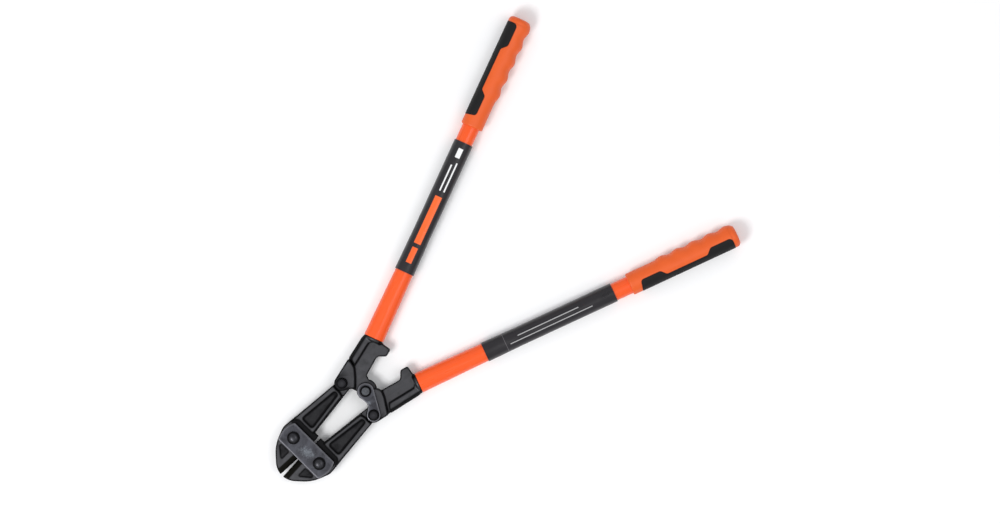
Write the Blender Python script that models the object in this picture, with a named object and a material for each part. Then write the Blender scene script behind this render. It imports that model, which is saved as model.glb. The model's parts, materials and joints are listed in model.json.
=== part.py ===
"""Compound-lever bolt cutters, 600 mm class, open far enough to take a small rod.

Two forged jaws turn on bolts held by a pair of straps. Each jaw's tail is pinned to a handle
lever, and the two levers meet at one centre pivot. Metres, +Z up. The centre pivot stands over
the origin, the handles run towards +X and the floor is z = 0. All sizes below are millimetres.

A left-hand piece is drawn in one of two frames: the tool frame (x along the tool, y to its left)
or the handle frame (the tool frame turned so that x runs along the left handle). The right-hand
piece is the same drawing mirrored.
"""
import math

import bpy
from mathutils import Matrix, Vector

MM = 0.001

# ---- mechanism -----------------------------------------------------------------------------
REST_SWING = 20.2          # half the angle between the handles, as modelled
CLOSING_SWING = 15.2       # handle travel from there until the hooks meet
OPENING_SWING = 25.0       # handle travel from there to fully open
JAW_SHARE = 0.165          # degrees of jaw turn for each degree of handle swing
JAW_REACH = 100.4          # centre pivot to the line of the jaw bolts
BOLT_SPAN = 43.4           # between the two jaw bolts
LINK_LENGTH = 30.0         # centre pivot to a tail bolt
LINK_ANGLE = 96.1          # from a handle's direction round to its tail bolt

# ---- clearances ----------------------------------------------------------------------------
GAP = 0.3                  # between pieces that touch
SWEEP_GAP = 0.8            # round a piece that turns past another
CUT_GAP = 0.1              # from each cutting edge to the centreline when closed
FACET = 0.08               # how far a facet may cut inside a true curve

# ---- bolts and plates ----------------------------------------------------------------------
SHANK = 4.5                # bolt shank radius
NUT_WALL = 3.0             # from the shank to a nut's flats
NUT_THICK = 4.3
TAIL_RIM = 0.8             # tail bolt's head past its shank
PIVOT_RIM = 0.4            # centre pivot's head past its shank
JAW_RIM = 3.2              # jaw bolt's head past its shank
WASHER_RIM = 2.4
WASHER_THICK = 0.9
STRAP_WIDTH = 28.0
STRAP_THICK = 4.0
STRAP_END = 15.6           # strap past each jaw bolt
LINK_THICK = 2.5
LINK_END = 10.0            # link plate radius at the centre pivot
LINK_TAIL = 8.2            # link plate radius at the tail bolt

# ---- jaws ----------------------------------------------------------------------------------
BLADE_LENGTH = 41.4        # jaw bolt to tip
BLADE_HALF = 5.5           # half thickness under the straps
BEVEL_WIDTH = 6.6          # ground face beside the cutting edge
ARM_HALF = 8.3
TONGUE_HALF = 3.8          # tail, and the web of the levers
ARM_START = 20.0           # jaw bolt line to the raised arm
POCKET_DEPTH = 2.0
EAR = 9.3                  # radius of a lever's ear
RIB_RELIEF = 1.0           # cut back of the raised arm, clear of the lever's neck
TAIL_REACH = 11.6          # the jaw's tail inside a lever's slot, from the tail bolt

# ---- levers --------------------------------------------------------------------------------
CHEEK_THICK = 3.5
HUB = 10.6                 # radius of the fork cheeks at the centre pivot
TONGUE_WALL = 1.05         # least metal round the left lever's hole there
HUB_CLEARANCE = 2.0        # from the cheeks' hub to the foot of the other lever's ear
RIDGE_HALF = 8.6
HOOK_NEAR = 48.6           # the hook's face, from the centre pivot along the handle
HOOK_FAR = 58.0
COLLAR = 12.3
COLLAR_START = 57.3
COLLAR_END = 61.6
SPIGOT_LENGTH = 34.0

# ---- handles -------------------------------------------------------------------------------
AXIS_OFFSET = 17.8         # handle axis outside the line through the centre pivot
TUBE_HEAD = 12.5           # tube radius beside the lever
TUBE_RADIUS = 10.6         # tube radius past its taper
TUBE_WALL = 1.8
TAPER_END = 190.0
SLEEVE_START = 149.0
SLEEVE_END = 319.0
SLEEVE_WALL = 0.7
HANDLE_LENGTH = 482.0      # centre pivot to the end of the grip
GRIP_LENGTH = 142.0
GRIP_OUTER = 13.2          # grip past the tube's axis, on its outer side
GRIP_INNER = 15.4
GRIP_WAVE = 1.1            # height of the finger waves
GRIP_BUTT = 5.0            # rounding of the grip's closed end
WAVE_PITCH = 21.0
WAVES = 5
INSERT_THICK = 2.4

# ---- worked out from the sizes above --------------------------------------------------------
CHEEK_LOW = TONGUE_HALF + GAP
CHEEK_TOP = CHEEK_LOW + CHEEK_THICK
LINK_TOP = CHEEK_TOP + GAP + LINK_THICK
STRAP_TOP = BLADE_HALF + GAP + STRAP_THICK
MID_HEIGHT = max(LINK_TOP, STRAP_TOP) + GAP + NUT_THICK     # mid-plane of every piece above the floor
JAW_CLOSING = JAW_SHARE * CLOSING_SWING
JAW_OPENING = JAW_SHARE * OPENING_SWING
SHANK_HOLE = SHANK + GAP
TUBE_START = COLLAR_END + GAP
GRIP_START = HANDLE_LENGTH - GRIP_LENGTH
TUBE_END = HANDLE_LENGTH - 12.0


def polar(radius, degrees, centre=(0.0, 0.0)):
    """The point at a radius and an angle from a centre."""
    turn = math.radians(degrees)
    return (centre[0] + radius * math.cos(turn), centre[1] + radius * math.sin(turn))


def turned(point, centre, degrees):
    """A point turned about a centre."""
    turn = math.radians(degrees)
    x, y = point[0] - centre[0], point[1] - centre[1]
    return (centre[0] + x * math.cos(turn) - y * math.sin(turn),
            centre[1] + x * math.sin(turn) + y * math.cos(turn))


JAW_BOLT = (-JAW_REACH, BOLT_SPAN / 2)
TAIL = polar(LINK_LENGTH, LINK_ANGLE + REST_SWING)     # left tail bolt, tool frame
EYE = polar(LINK_LENGTH, LINK_ANGLE)                   # the same bolt, handle frame
CLOSED_TAIL = turned(TAIL, JAW_BOLT, JAW_CLOSING)
OPEN_TAIL = turned(TAIL, JAW_BOLT, -JAW_OPENING)


def lever_shift(tail, swing):
    """How far a lever's pivot hole moves off the centreline when its tail bolt is at a place."""
    return tail[1] - LINK_LENGTH * math.sin(math.radians(LINK_ANGLE + swing))


# The levers' holes part a little at both ends of the travel, where the jaws' steady turning
# differs from the true linkage. The left lever's hole is enlarged by this much.
PIVOT_SHIFT = 2 * max(lever_shift(CLOSED_TAIL, REST_SWING - CLOSING_SWING),
                      lever_shift(OPEN_TAIL, REST_SWING + OPENING_SWING))


def hook_face(x):
    """The point of the left lever, at a distance along it, that closes on the tool's centreline."""
    swing = math.radians(REST_SWING - CLOSING_SWING)
    fall = (CUT_GAP - CLOSED_TAIL[1] - math.sin(swing) * (x - EYE[0])) / math.cos(swing)
    return (x, EYE[1] + fall)


def arc(centre, radius, start, end):
    """Points along an arc, from one angle to another, as fine as its facets need."""
    step = math.degrees(2 * math.acos(1 - min(FACET / radius, 0.1)))
    count = max(2, math.ceil(abs(end - start) / step))
    return [polar(radius, start + (end - start) * i / count, centre) for i in range(count + 1)]


def rounded(corners):
    """An outline from corners (x, y) or (x, y, radius), each radius made an arc."""
    points = []
    for index, corner in enumerate(corners):
        here = Vector(corner[:2])
        if len(corner) == 2:
            points.append(here[:])
            continue
        back = Vector(corners[index - 1][:2]) - here
        ahead = Vector(corners[(index + 1) % len(corners)][:2]) - here
        half = back.angle(ahead) / 2
        reach = min(corner[2] / math.tan(half), 0.48 * back.length, 0.48 * ahead.length)
        radius = reach * math.tan(half)
        centre = here + (back.normalized() + ahead.normalized()).normalized() * radius / math.sin(half)
        first = here + back.normalized() * reach - centre
        last = here + ahead.normalized() * reach - centre
        sweep = math.degrees(first.angle_signed(last)) * -1
        start = math.degrees(math.atan2(first.y, first.x))
        points += arc(centre, radius, start, start + sweep)
    return points


def inset(outline, distance):
    """An outline moved inwards by a distance, corner by corner."""
    moved = []
    for index, point in enumerate(outline):
        here = Vector(point)
        before = (here - Vector(outline[index - 1])).normalized()
        after = (Vector(outline[(index + 1) % len(outline)]) - here).normalized()
        side = (Vector((-before.y, before.x)) + Vector((-after.y, after.x))).normalized()
        stretch = max(0.5, side.dot(Vector((-after.y, after.x))))
        moved.append((here + side * distance / stretch)[:])
    return moved


def clear_scene():
    for item in list(bpy.data.objects):
        bpy.data.objects.remove(item, do_unlink=True)


def material(name, colour, roughness, metallic):
    """A Principled material; the colour is linear."""
    made = bpy.data.materials.new(name)
    made.use_nodes = True
    shader = made.node_tree.nodes["Principled BSDF"]
    shader.inputs["Base Color"].default_value = (*colour, 1.0)
    shader.inputs["Roughness"].default_value = roughness
    shader.inputs["Metallic"].default_value = metallic
    return made


def mesh_object(name, points, faces):
    """An object from points in millimetres about the mid-plane."""
    mesh = bpy.data.meshes.new(name)
    mesh.from_pydata([Vector(p) * MM for p in points], [], faces)
    made = bpy.data.objects.new(name, mesh)
    bpy.context.collection.objects.link(made)
    return made


def stack(name, levels):
    """A solid through outlines of equal length at rising heights: [(z, outline), ...]."""
    count = len(levels[0][1])
    points = [(x, y, z) for z, outline in levels for x, y in outline]
    faces = [list(range(count))[::-1]]
    for level in range(len(levels) - 1):
        low = level * count
        for i in range(count):
            j = (i + 1) % count
            faces.append([low + i, low + j, low + count + j, low + count + i])
    faces.append([len(points) - count + i for i in range(count)])
    return mesh_object(name, points, faces)


def slab(name, outline, low, high, edge=0.0):
    """A flat plate between two heights, with chamfered edges."""
    if not edge:
        return stack(name, [(low, outline), (high, outline)])
    narrow = inset(outline, edge)
    return stack(name, [(low, narrow), (low + edge, outline), (high - edge, outline), (high, narrow)])


def turned_solid(name, profile, frame, sides=18):
    """A lathe shape: [(distance along, radius), ...] about the frame's own z axis, solid or,
    where the profile closes on itself, hollow. Distances rise along the outside."""
    hollow = profile[0] == profile[-1]
    rows = profile[:-1] if hollow else profile
    points = []
    for along, radius in rows:
        points += [frame @ Vector((*polar(radius, 360 * k / sides), along)) for k in range(sides)]
    faces = []
    for row in range(len(rows) if hollow else len(rows) - 1):
        low, high = row * sides, (row + 1) % len(rows) * sides
        for k in range(sides):
            n = (k + 1) % sides
            faces.append([low + k, low + n, high + n, high + k])
    if not hollow:
        faces.append(list(range(sides))[::-1])
        faces.append([len(points) - sides + k for k in range(sides)])
    return mesh_object(name, points, faces)


def upright(centre):
    """The frame of a lathe shape that stands at a point."""
    return Matrix.Translation((*centre, 0.0))


def along_handle(offset=AXIS_OFFSET):
    """The frame of a lathe shape along the handle's axis."""
    return Matrix.Translation((0.0, offset, 0.0)) @ Matrix.Rotation(math.pi / 2, 4, "Y")


def combine(target, other, operation):
    """Join, cut or intersect with a helper object, which is left out of the model."""
    other.hide_render = True
    other.display_type = "WIRE"
    step = target.modifiers.new(f"{operation.lower()}_{other.name}", "BOOLEAN")
    step.operation = operation
    step.solver = "EXACT"
    step.object = other
    return other


def drill(target, centre, radius, reach=40.0):
    """A round hole through everything at a point."""
    rod = turned_solid(f"{target.name}_drill_{len(target.modifiers)}",
                       [(-reach, radius), (reach, radius)], upright(centre))
    return combine(target, rod, "DIFFERENCE")


class Body:
    """A rigid group: an empty on its joint's axis, which its pieces are placed under."""

    def __init__(self, name, pivot, side, handle=False):
        turn = side * REST_SWING if handle else 0.0
        self.frame = (Matrix.Translation((0.0, 0.0, MID_HEIGHT * MM))
                      @ Matrix.Rotation(math.radians(turn), 4, "Z")
                      @ Matrix.Diagonal((1.0, side, 1.0, 1.0)))
        self.empty = bpy.data.objects.new(f"axis_{name}", None)
        self.empty.location = (pivot[0] * MM, pivot[1] * MM * side, MID_HEIGHT * MM)
        bpy.context.collection.objects.link(self.empty)

    def place(self, piece, finish=None):
        """Move a piece from its drawing frame to its place, with its origin on the axis."""
        helpers = [step.object for step in piece.modifiers if step.type == "BOOLEAN"]
        move = Matrix.Translation(-self.empty.location) @ self.frame
        piece.data.transform(move)
        if move.determinant() < 0:
            piece.data.flip_normals()
        piece.parent = self.empty
        if finish:
            piece.data.materials.append(finish)
            piece.data.shade_smooth()
            piece.data.set_sharp_from_angle(angle=math.radians(35))
        for helper in helpers:
            if helper.parent is None:
                self.place(helper)
        return piece


# ---- jaws and straps -------------------------------------------------------------------------

def blade_line(x, closing):
    """A point of the jaw's inner edge: on the centreline when the jaw has turned by closing."""
    return turned((x, CUT_GAP), JAW_BOLT, -closing)


def arm_back(x, drop=0.0):
    """A point of the jaw's straight back, from its shoulder to above the tail bolt."""
    start = (JAW_BOLT[0] + 8.0, JAW_BOLT[1] + 17.6)
    end = (TAIL[0] - 6.7, TAIL[1] + 5.5)
    share = (x - start[0]) / (end[0] - start[0])
    return (x, start[1] + (end[1] - start[1]) * share - drop)


def jaw_outline():
    """The head of the left jaw: cutting edge, relieved rear edge, then the domed back."""
    jx, jy = JAW_BOLT
    tip = jx - BLADE_LENGTH
    edge = blade_line(tip, JAW_CLOSING)
    relief = blade_line(jx + ARM_START + 1.0, -JAW_OPENING)
    heel = arm_back(jx + ARM_START + 2.0, 0.1)
    return rounded([
        (edge[0], edge[1], 1.2), blade_line(jx, 0.0), (*relief, 0.8), (relief[0], jy - 13.4),
        heel, arm_back(jx + 8.0), (jx + 0.5, jy + 18.3, 40.0), (jx - 21.6, jy + 9.8, 50.0),
        (tip + 2.1, jy - 9.7, 25.0)])


def arm_outline():
    """The arm and pierced tail: from under the head to an eye round the tail bolt."""
    jx, jy = JAW_BOLT
    tx, ty = TAIL
    start = jx + ARM_START - 6.0
    eye = arc(TAIL, EAR - 0.9, -35.0, 75.0)
    return rounded([(start, jy - 14.9), (jx + ARM_START + 2.8, jy - 13.9, 1.5), (tx + 1.5, ty - 11.4, 2.0)]
                   + eye + [arm_back(tx - 6.7), arm_back(start, 0.5)])


def arm_rib_outline(margin):
    """The raised part of the arm: from its front wall to the recess round the lever's ear, with
    a horn that runs forward along the jaw's back, past the strap's corner."""
    jx, jy = JAW_BOLT
    tx, ty = TAIL
    sweep = EAR + SWEEP_GAP
    front = jx + ARM_START
    horn = (STRAP_END - 1.2) + SWEEP_GAP
    return rounded([(front, jy - 13.6 + margin, 1.0), (tx - sweep - RIB_RELIEF, ty - 11.9 + margin)]
                   + arc(TAIL, sweep, 202.0, 146.0)
                   + [arm_back(front - 9.0, margin), (front - 5.0, jy + horn - 0.2, 2.0),
                      (front, jy + horn - 4.5, 3.0)])


def arm_pocket(offset):
    """The hollow in the face of the arm, between its two ribs."""
    jx, jy = JAW_BOLT
    tx, ty = TAIL
    front = jx + ARM_START + 3.0
    return inset(rounded([(front, jy - 8.6, 3.5), (tx - 12.4, ty - 6.8, 2.5), (tx - 12.4, ty - 0.2, 2.5),
                          (front, jy + 10.0, 3.5)]), offset)


def tip_pocket(offset):
    """The small three-cornered hollow in front of the strap."""
    jx, jy = JAW_BOLT
    front = jx - STRAP_WIDTH / 2 - 0.8
    return inset(rounded([(front, jy - 8.4, 1.8), (front, jy + 6.2, 1.6), (front - 3.8, jy + 6.2, 1.8),
                          (front - 15.6, jy - 8.4, 1.9)]), offset)


def build_jaw(body, name, finish):
    """One jaw, from its head, its arm and its two ribs; both faces alike."""
    jx, jy = JAW_BOLT
    jaw = slab(name, jaw_outline(), -BLADE_HALF, BLADE_HALF, 0.9)
    combine(jaw, slab(f"{name}_arm", arm_outline(), -TONGUE_HALF, TONGUE_HALF, 0.5), "UNION")
    rib = [(-ARM_HALF, arm_rib_outline(1.6)), (-ARM_HALF + 1.5, arm_rib_outline(0.2)),
           (ARM_HALF - 1.5, arm_rib_outline(0.2)), (ARM_HALF, arm_rib_outline(1.6))]
    combine(jaw, stack(f"{name}_rib", rib), "UNION")
    for face in (-1, 1):
        top = face * (ARM_HALF + 1.0)
        floor = face * (ARM_HALF - POCKET_DEPTH)
        levels = sorted([(top, arm_pocket(0.0)), (floor, arm_pocket(1.2))])
        combine(jaw, stack(f"{name}_pocket_{face}", levels), "DIFFERENCE")
        top = face * (BLADE_HALF + 1.0)
        floor = face * (BLADE_HALF - 1.1)
        levels = sorted([(top, tip_pocket(0.0)), (floor, tip_pocket(0.8))])
        combine(jaw, stack(f"{name}_tip_pocket_{face}", levels), "DIFFERENCE")
        combine(jaw, ground_face(f"{name}_bevel_{face}", face), "DIFFERENCE")
    drill(jaw, JAW_BOLT, SHANK_HOLE)
    drill(jaw, TAIL, SHANK_HOLE)
    return body.place(jaw, finish)


def ground_face(name, face):
    """The wedge ground off one face of the blade, down to its edge at the mid-plane."""
    jx, jy = JAW_BOLT
    lip = 0.25
    tip = jx - BLADE_LENGTH - 6.0
    rear = jx - STRAP_WIDTH / 2 + 7.0
    rise = (BLADE_HALF + 1.0) * (BEVEL_WIDTH / (BLADE_HALF - lip))
    section = [(-4.0, lip), (0.0, lip), (rise, BLADE_HALF + 1.0 + lip), (-4.0, BLADE_HALF + 1.0 + lip)]
    points = []
    for x in (tip, rear):
        for y, z in section:
            flat = turned((x, CUT_GAP + y), JAW_BOLT, -JAW_CLOSING)
            points.append((*flat, face * z))
    faces = [[0, 1, 2, 3], [7, 6, 5, 4]] + [[i, i + 4, (i + 1) % 4 + 4, (i + 1) % 4] for i in range(4)]
    if face > 0:
        faces = [f[::-1] for f in faces]
    return mesh_object(name, points, faces)


def strap_outline():
    """A strap: straight front and rear edges, bowed ends that follow the jaws' backs."""
    jx, jy = JAW_BOLT
    half = STRAP_WIDTH / 2
    end = jy + STRAP_END
    return rounded([(jx - half, -end + 3.4, 1.5), (jx + 0.8, -end - 0.6, 26.0), (jx + half, -end + 3.8, 2.0),
                    (jx + half, end - 3.8, 2.0), (jx + 0.8, end + 0.6, 26.0), (jx - half, end - 3.4, 1.5)])


def build_straps(body, finish, bolt_finish):
    low = BLADE_HALF + GAP
    for name, bottom in (("strap_front", low), ("strap_rear", -STRAP_TOP)):
        strap = slab(name, strap_outline(), bottom, bottom + STRAP_THICK, 0.5)
        for side in (1, -1):
            drill(strap, (JAW_BOLT[0], side * JAW_BOLT[1]), SHANK_HOLE)
        body.place(strap, finish)
    for side, hand in ((1, "left"), (-1, "right")):
        centre = (JAW_BOLT[0], side * JAW_BOLT[1])
        build_bolt(body, f"jaw_bolt_{hand}", centre, (-MID_HEIGHT, STRAP_TOP + GAP),
                   domed_head(SHANK + JAW_RIM), bolt_finish)
        build_nut(body, f"jaw_nut_{hand}", centre, -STRAP_TOP - GAP, bolt_finish)


# ---- fasteners -------------------------------------------------------------------------------

def domed_head(radius):
    """Profile of a jaw bolt's head above its seat: a flange, then a low dome."""
    dome = radius - 1.9
    return [(0.0, radius - 0.3), (0.5, radius), (1.3, radius - 0.2), (1.6, dome), (2.8, dome - 0.6),
            (3.8, dome - 2.0), (4.4, dome - 4.0)]


def plain_head(radius, height):
    """Profile of a round bolt head with a rounded rim."""
    return [(0.0, radius), (height - 0.7, radius), (height - 0.2, radius - 0.4), (height, radius - 1.2)]


def build_bolt(body, name, centre, span, head, finish):
    """A bolt: span holds the heights of its flat end and of the seat under its head."""
    end, seat = span
    profile = [(end, SHANK - 0.6), (end + 0.6, SHANK), (seat, SHANK)]
    profile += [(seat + rise, radius) for rise, radius in head]
    return body.place(turned_solid(name, profile, upright(centre)), finish)


def build_nut(body, name, centre, seat, finish):
    """A thin hexagon nut hung below a seat."""
    flats = 2 * (SHANK + NUT_WALL)
    corners = [polar(flats / math.sqrt(3), 60 * k + 30, centre) for k in range(6)]
    nut = slab(name, corners, seat - NUT_THICK, seat, 0.6)
    drill(nut, centre, SHANK_HOLE)
    return body.place(nut, finish)


def build_washer(body, name, centre, seat, finish):
    """A dark washer on a seat."""
    rim = SHANK + WASHER_RIM
    profile = [(seat, rim), (seat + WASHER_THICK - 0.2, rim), (seat + WASHER_THICK, rim - 0.3),
               (seat + WASHER_THICK, SHANK_HOLE), (seat, SHANK_HOLE), (seat, rim)]
    return body.place(turned_solid(name, profile, upright(centre)), finish)


def build_link_plates(body, finish):
    """The waisted plates from the centre pivot to the right tail bolt, one on each face."""
    ex, ey = EYE
    outline = rounded(
        arc((0.0, 0.0), LINK_END, 150.0, 368.0) + arc(EYE, LINK_TAIL, 8.0, 205.0)
        + [(-4.6, ey / 2 + 3.0, 9.0), (-4.4, ey / 2 - 0.5, 6.0)])
    for name, low in (("link_plate_front", CHEEK_TOP + GAP), ("link_plate_rear", -LINK_TOP)):
        plate = slab(name, outline, low, low + LINK_THICK, 0.4)
        drill(plate, (0.0, 0.0), SHANK_HOLE)
        drill(plate, EYE, SHANK_HOLE)
        body.place(plate, finish)


# ---- levers ----------------------------------------------------------------------------------

def back_line(x, drop=0.0):
    """A point of the lever's outer edge: the line from the ear's crown to the collar's rim."""
    start = (EYE[0] + 1.2, EYE[1] + EAR - 0.1)
    end = (COLLAR_END, AXIS_OFFSET + COLLAR + 0.6)
    share = (x - start[0]) / (end[0] - start[0])
    return (x, start[1] + (end[1] - start[1]) * share - drop)


def web_outline(hub):
    """The flat web with its hooked stop; hub is the outline's start round the centre pivot."""
    near = hook_face(HOOK_NEAR)
    far = hook_face(HOOK_FAR)
    inner = AXIS_OFFSET - COLLAR
    return rounded(hub + [
        (15.4, 3.4), (17.2, 6.9, 3.5), (near[0] - 5.2, inner - 0.7, 5.0), (near[0] - 0.8, near[1], 1.8),
        (far[0], far[1], 1.8), (COLLAR_END - 1.8, inner - 0.6, 2.0), (COLLAR_END - 1.2, inner + 1.4),
        (COLLAR_END - 1.2, AXIS_OFFSET + 6.0), back_line(COLLAR_START - 4.0, 0.9), back_line(8.0, 0.9),
        (EYE[0] + 0.5, EYE[1] + EAR - 3.0), (EYE[0] - 1.0, EYE[1] - EAR)])


def ridge_outline(start, lean, drop):
    """The rib along the lever's back, from behind the ear to the collar."""
    inner = AXIS_OFFSET + 3.2
    return rounded([
        (start, EYE[1] - 4.9), (COLLAR_START - 3.2, inner, 2.5), (COLLAR_START - 0.4, inner - 3.6),
        (COLLAR_END - 1.4, inner - 3.6), (COLLAR_END - 1.4, AXIS_OFFSET + COLLAR - drop * 0.5),
        back_line(COLLAR_START - 2.0, drop), back_line(start + lean, drop)])


def left_ear_outline():
    """The left lever's cheeks over its jaw tail, with a slanting front edge."""
    back = back_line(26.0)
    return rounded([(-2.4, HUB + HUB_CLEARANCE, 1.0), (9.5, EYE[1] - 11.9), (20.0, EYE[1] - 5.9, 3.0),
                    (back[0] - 0.8, back[1] - 4.0, 2.0), (*back, 1.0)]
                   + arc(EYE, EAR, 83.0, 216.0) + [(-4.2, EYE[1] - 13.2, 4.0)])


def right_ear_outline():
    """The right lever's fork: cheeks round the centre pivot and over its jaw tail."""
    back = back_line(12.6)
    return rounded(arc((0.0, 0.0), HUB, 150.0, 365.0)
                   + [(14.6, 3.0, 2.0), (17.8, 7.8, 3.0), (17.4, EYE[1] - 13.5, 5.0), (*back, 1.0)]
                   + arc(EYE, EAR, 83.0, 216.0)
                   + [(-4.6, EYE[1] - 13.0, 7.0), (-5.6, EYE[1] - 19.5, 5.0)])


def collar_and_spigot(name):
    """The round collar that the tube butts on, and the spigot inside the tube."""
    spigot = TUBE_HEAD - TUBE_WALL - GAP
    bore_end = tube_radius(COLLAR_END + SPIGOT_LENGTH) - TUBE_WALL - GAP
    return turned_solid(name, [
        (COLLAR_START, COLLAR - 2.2), (COLLAR_START + 1.5, COLLAR - 0.5), (COLLAR_END - 1.0, COLLAR),
        (COLLAR_END, COLLAR - 0.6), (COLLAR_END, spigot), (COLLAR_END + SPIGOT_LENGTH - 2.0, bore_end),
        (COLLAR_END + SPIGOT_LENGTH, bore_end - 1.5)], along_handle(), 24)


def build_lever(body, name, hub, ear, ridge, slots, finish):
    """One forged lever: web, ridge, collar, ear cheeks, then the slots between the cheeks."""
    lever = slab(name, web_outline(hub), -TONGUE_HALF, TONGUE_HALF, 0.6)
    rise = [(TONGUE_HALF, 0.0), (RIDGE_HALF - 1.6, 2.4), (RIDGE_HALF, 5.0)]
    levels = [(-z, ridge_outline(*ridge, drop)) for z, drop in reversed(rise)]
    levels += [(z, ridge_outline(*ridge, drop)) for z, drop in rise]
    combine(lever, stack(f"{name}_ridge", levels), "UNION")
    combine(lever, collar_and_spigot(f"{name}_collar"), "UNION")
    combine(lever, slab(f"{name}_ear", ear, -CHEEK_TOP, CHEEK_TOP, 0.8), "UNION")
    for index, (centre, radius) in enumerate(slots):
        disc = turned_solid(f"{name}_slot_{index}", [(-CHEEK_LOW, radius), (CHEEK_LOW, radius)],
                            upright(centre), 32)
        combine(lever, disc, "DIFFERENCE")
    return body.place(lever, finish)


def build_levers(left, right, finish):
    """The left lever is a tongue at the centre pivot, the right one a fork round it."""
    tail_slot = (EYE, TAIL_REACH + SWEEP_GAP)
    hub_centre = (2.9, -0.5)
    hole_centre = (-0.25 * PIVOT_SHIFT, -0.43 * PIVOT_SHIFT)
    hole = SHANK_HOLE + PIVOT_SHIFT / 2
    hub = hole + math.dist(hub_centre, hole_centre) + TONGUE_WALL
    tongue = arc(hub_centre, hub, 130.0, 375.0)
    lever = build_lever(left, "lever_left", tongue, left_ear_outline(), (22.6, 5.4), [tail_slot], finish)
    left.place(drill(lever, hole_centre, hole))
    left.place(drill(lever, EYE, SHANK_HOLE))
    hub_slot = ((0.0, 0.0), hub + math.hypot(*hub_centre) + SWEEP_GAP)
    fork = [(6.0, -2.0)]
    lever = build_lever(right, "lever_right", fork, right_ear_outline(), (19.6, -3.0),
                        [tail_slot, hub_slot], finish)
    right.place(drill(lever, (0.0, 0.0), SHANK_HOLE))
    right.place(drill(lever, EYE, SHANK_HOLE))


# ---- handles ---------------------------------------------------------------------------------

def tube_radius(along):
    """Outside radius of the tapered tube at a distance along the handle."""
    share = min(1.0, max(0.0, (along - TUBE_START) / (TAPER_END - TUBE_START)))
    return TUBE_HEAD + (TUBE_RADIUS - TUBE_HEAD) * share


def build_tube(body, name, finish):
    """A tapered tube, open at both ends."""
    stations = (TUBE_START, TAPER_END, TUBE_END)
    outside = [(s, tube_radius(s)) for s in stations]
    inside = [(s, tube_radius(s) - TUBE_WALL) for s in reversed(stations)]
    profile = outside + inside + outside[:1]
    return body.place(turned_solid(name, profile, along_handle(), 24), finish)


def build_sleeve(body, name, finish):
    """The thin printed sleeve round the tube."""
    stations = (SLEEVE_START, max(TAPER_END, SLEEVE_START + 10.0), SLEEVE_END)
    outside = [(s, tube_radius(s) + GAP + SLEEVE_WALL) for s in stations]
    inside = [(s, tube_radius(s) + GAP) for s in reversed(stations)]
    profile = outside + inside + outside[:1]
    return body.place(turned_solid(name, profile, along_handle(), 24), finish)


def grip_section(along, skin):
    """Inner reach, outer reach and half height of the grip at a distance along it, less a skin."""
    into = along - GRIP_START
    left = HANDLE_LENGTH - along
    lead = min(1.0, into / (GRIP_LENGTH - (WAVES + 0.5) * WAVE_PITCH))
    phase = (HANDLE_LENGTH - 0.5 * WAVE_PITCH - along) / WAVE_PITCH
    wave = GRIP_WAVE * math.cos(2 * math.pi * phase) if phase < WAVES - 0.5 else -GRIP_WAVE
    inner = GRIP_INNER - 0.9 * (1.0 - lead) + wave * lead
    height = MID_HEIGHT - 1.2 * (1.0 - lead)
    nose = 1.0 if into > 2.0 else 0.88 + 0.06 * into
    turn = min(1.0, left / GRIP_BUTT)
    butt = GRIP_BUTT * (1.0 - math.sqrt(turn * (2.0 - turn)))
    return tuple(reach * nose - butt - skin for reach in (inner, GRIP_OUTER, height))


def grip_solid(name, skin=0.0, sides=18):
    """The grip's outer form, lofted through near-oval sections along the handle."""
    stations = [GRIP_START, GRIP_START + 2.0, GRIP_START + 12.0]
    first_wave = HANDLE_LENGTH - WAVES * WAVE_PITCH
    stations += [first_wave + WAVE_PITCH * k / 4 for k in range(WAVES * 4 - 1)]
    stations += [HANDLE_LENGTH - share * GRIP_BUTT for share in (0.6, 0.2, 0.0)]
    points = []
    for along in stations:
        inner, outer, height = grip_section(along, skin)
        for k in range(sides):
            y, z = polar(1.0, 360 * k / sides)
            reach = outer if y > 0 else inner
            points.append((along, AXIS_OFFSET + reach * y, height * z))
    faces = [list(range(sides))[::-1]]
    for row in range(len(stations) - 1):
        low, high = row * sides, (row + 1) * sides
        faces += [[low + k, low + (k + 1) % sides, high + (k + 1) % sides, high + k] for k in range(sides)]
    faces.append([len(points) - sides + k for k in range(sides)])
    return mesh_object(name, points, faces)


def insert_outline(offset):
    """The soft insert from above: two lobes joined by a narrow strip along the outer side."""
    low = AXIS_OFFSET + 0.2
    strip = AXIS_OFFSET + 7.0
    top = AXIS_OFFSET + GRIP_OUTER + 6.0
    front = GRIP_START + 12.0
    end = HANDLE_LENGTH - 7.5
    return inset(rounded([(front + 2.5, low, 4.0), (front + 28.0, low, 5.0), (front + 34.0, strip, 4.0),
                          (end - 35.0, strip, 4.0), (end - 28.5, low, 5.0), (end - 0.5, low, 5.0),
                          (end, top), (front - 1.5, top)]), offset)


def build_grip(body, hand, grip_finish, insert_finish):
    """A moulded grip with a blind bore, and the soft insert let into its outer side."""
    insert = grip_solid(f"grip_insert_{hand}")
    combine(insert, slab(f"insert_area_{hand}", insert_outline(0.15), -30.0, 30.0), "INTERSECT")
    combine(insert, grip_solid(f"insert_seat_{hand}", INSERT_THICK), "DIFFERENCE")
    grip = grip_solid(f"grip_{hand}")
    pocket = slab(f"grip_pocket_{hand}", insert_outline(-0.15), -30.0, 30.0)
    combine(pocket, grip_solid(f"grip_seat_{hand}", INSERT_THICK + GAP), "DIFFERENCE")
    combine(grip, pocket, "DIFFERENCE")
    bore = TUBE_RADIUS + GAP
    hole = turned_solid(f"grip_bore_{hand}", [(GRIP_START - 5.0, bore), (TUBE_END + GAP, bore)],
                        along_handle(), 24)
    combine(grip, hole, "DIFFERENCE")
    body.place(insert, insert_finish)
    body.place(grip, grip_finish)


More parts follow.
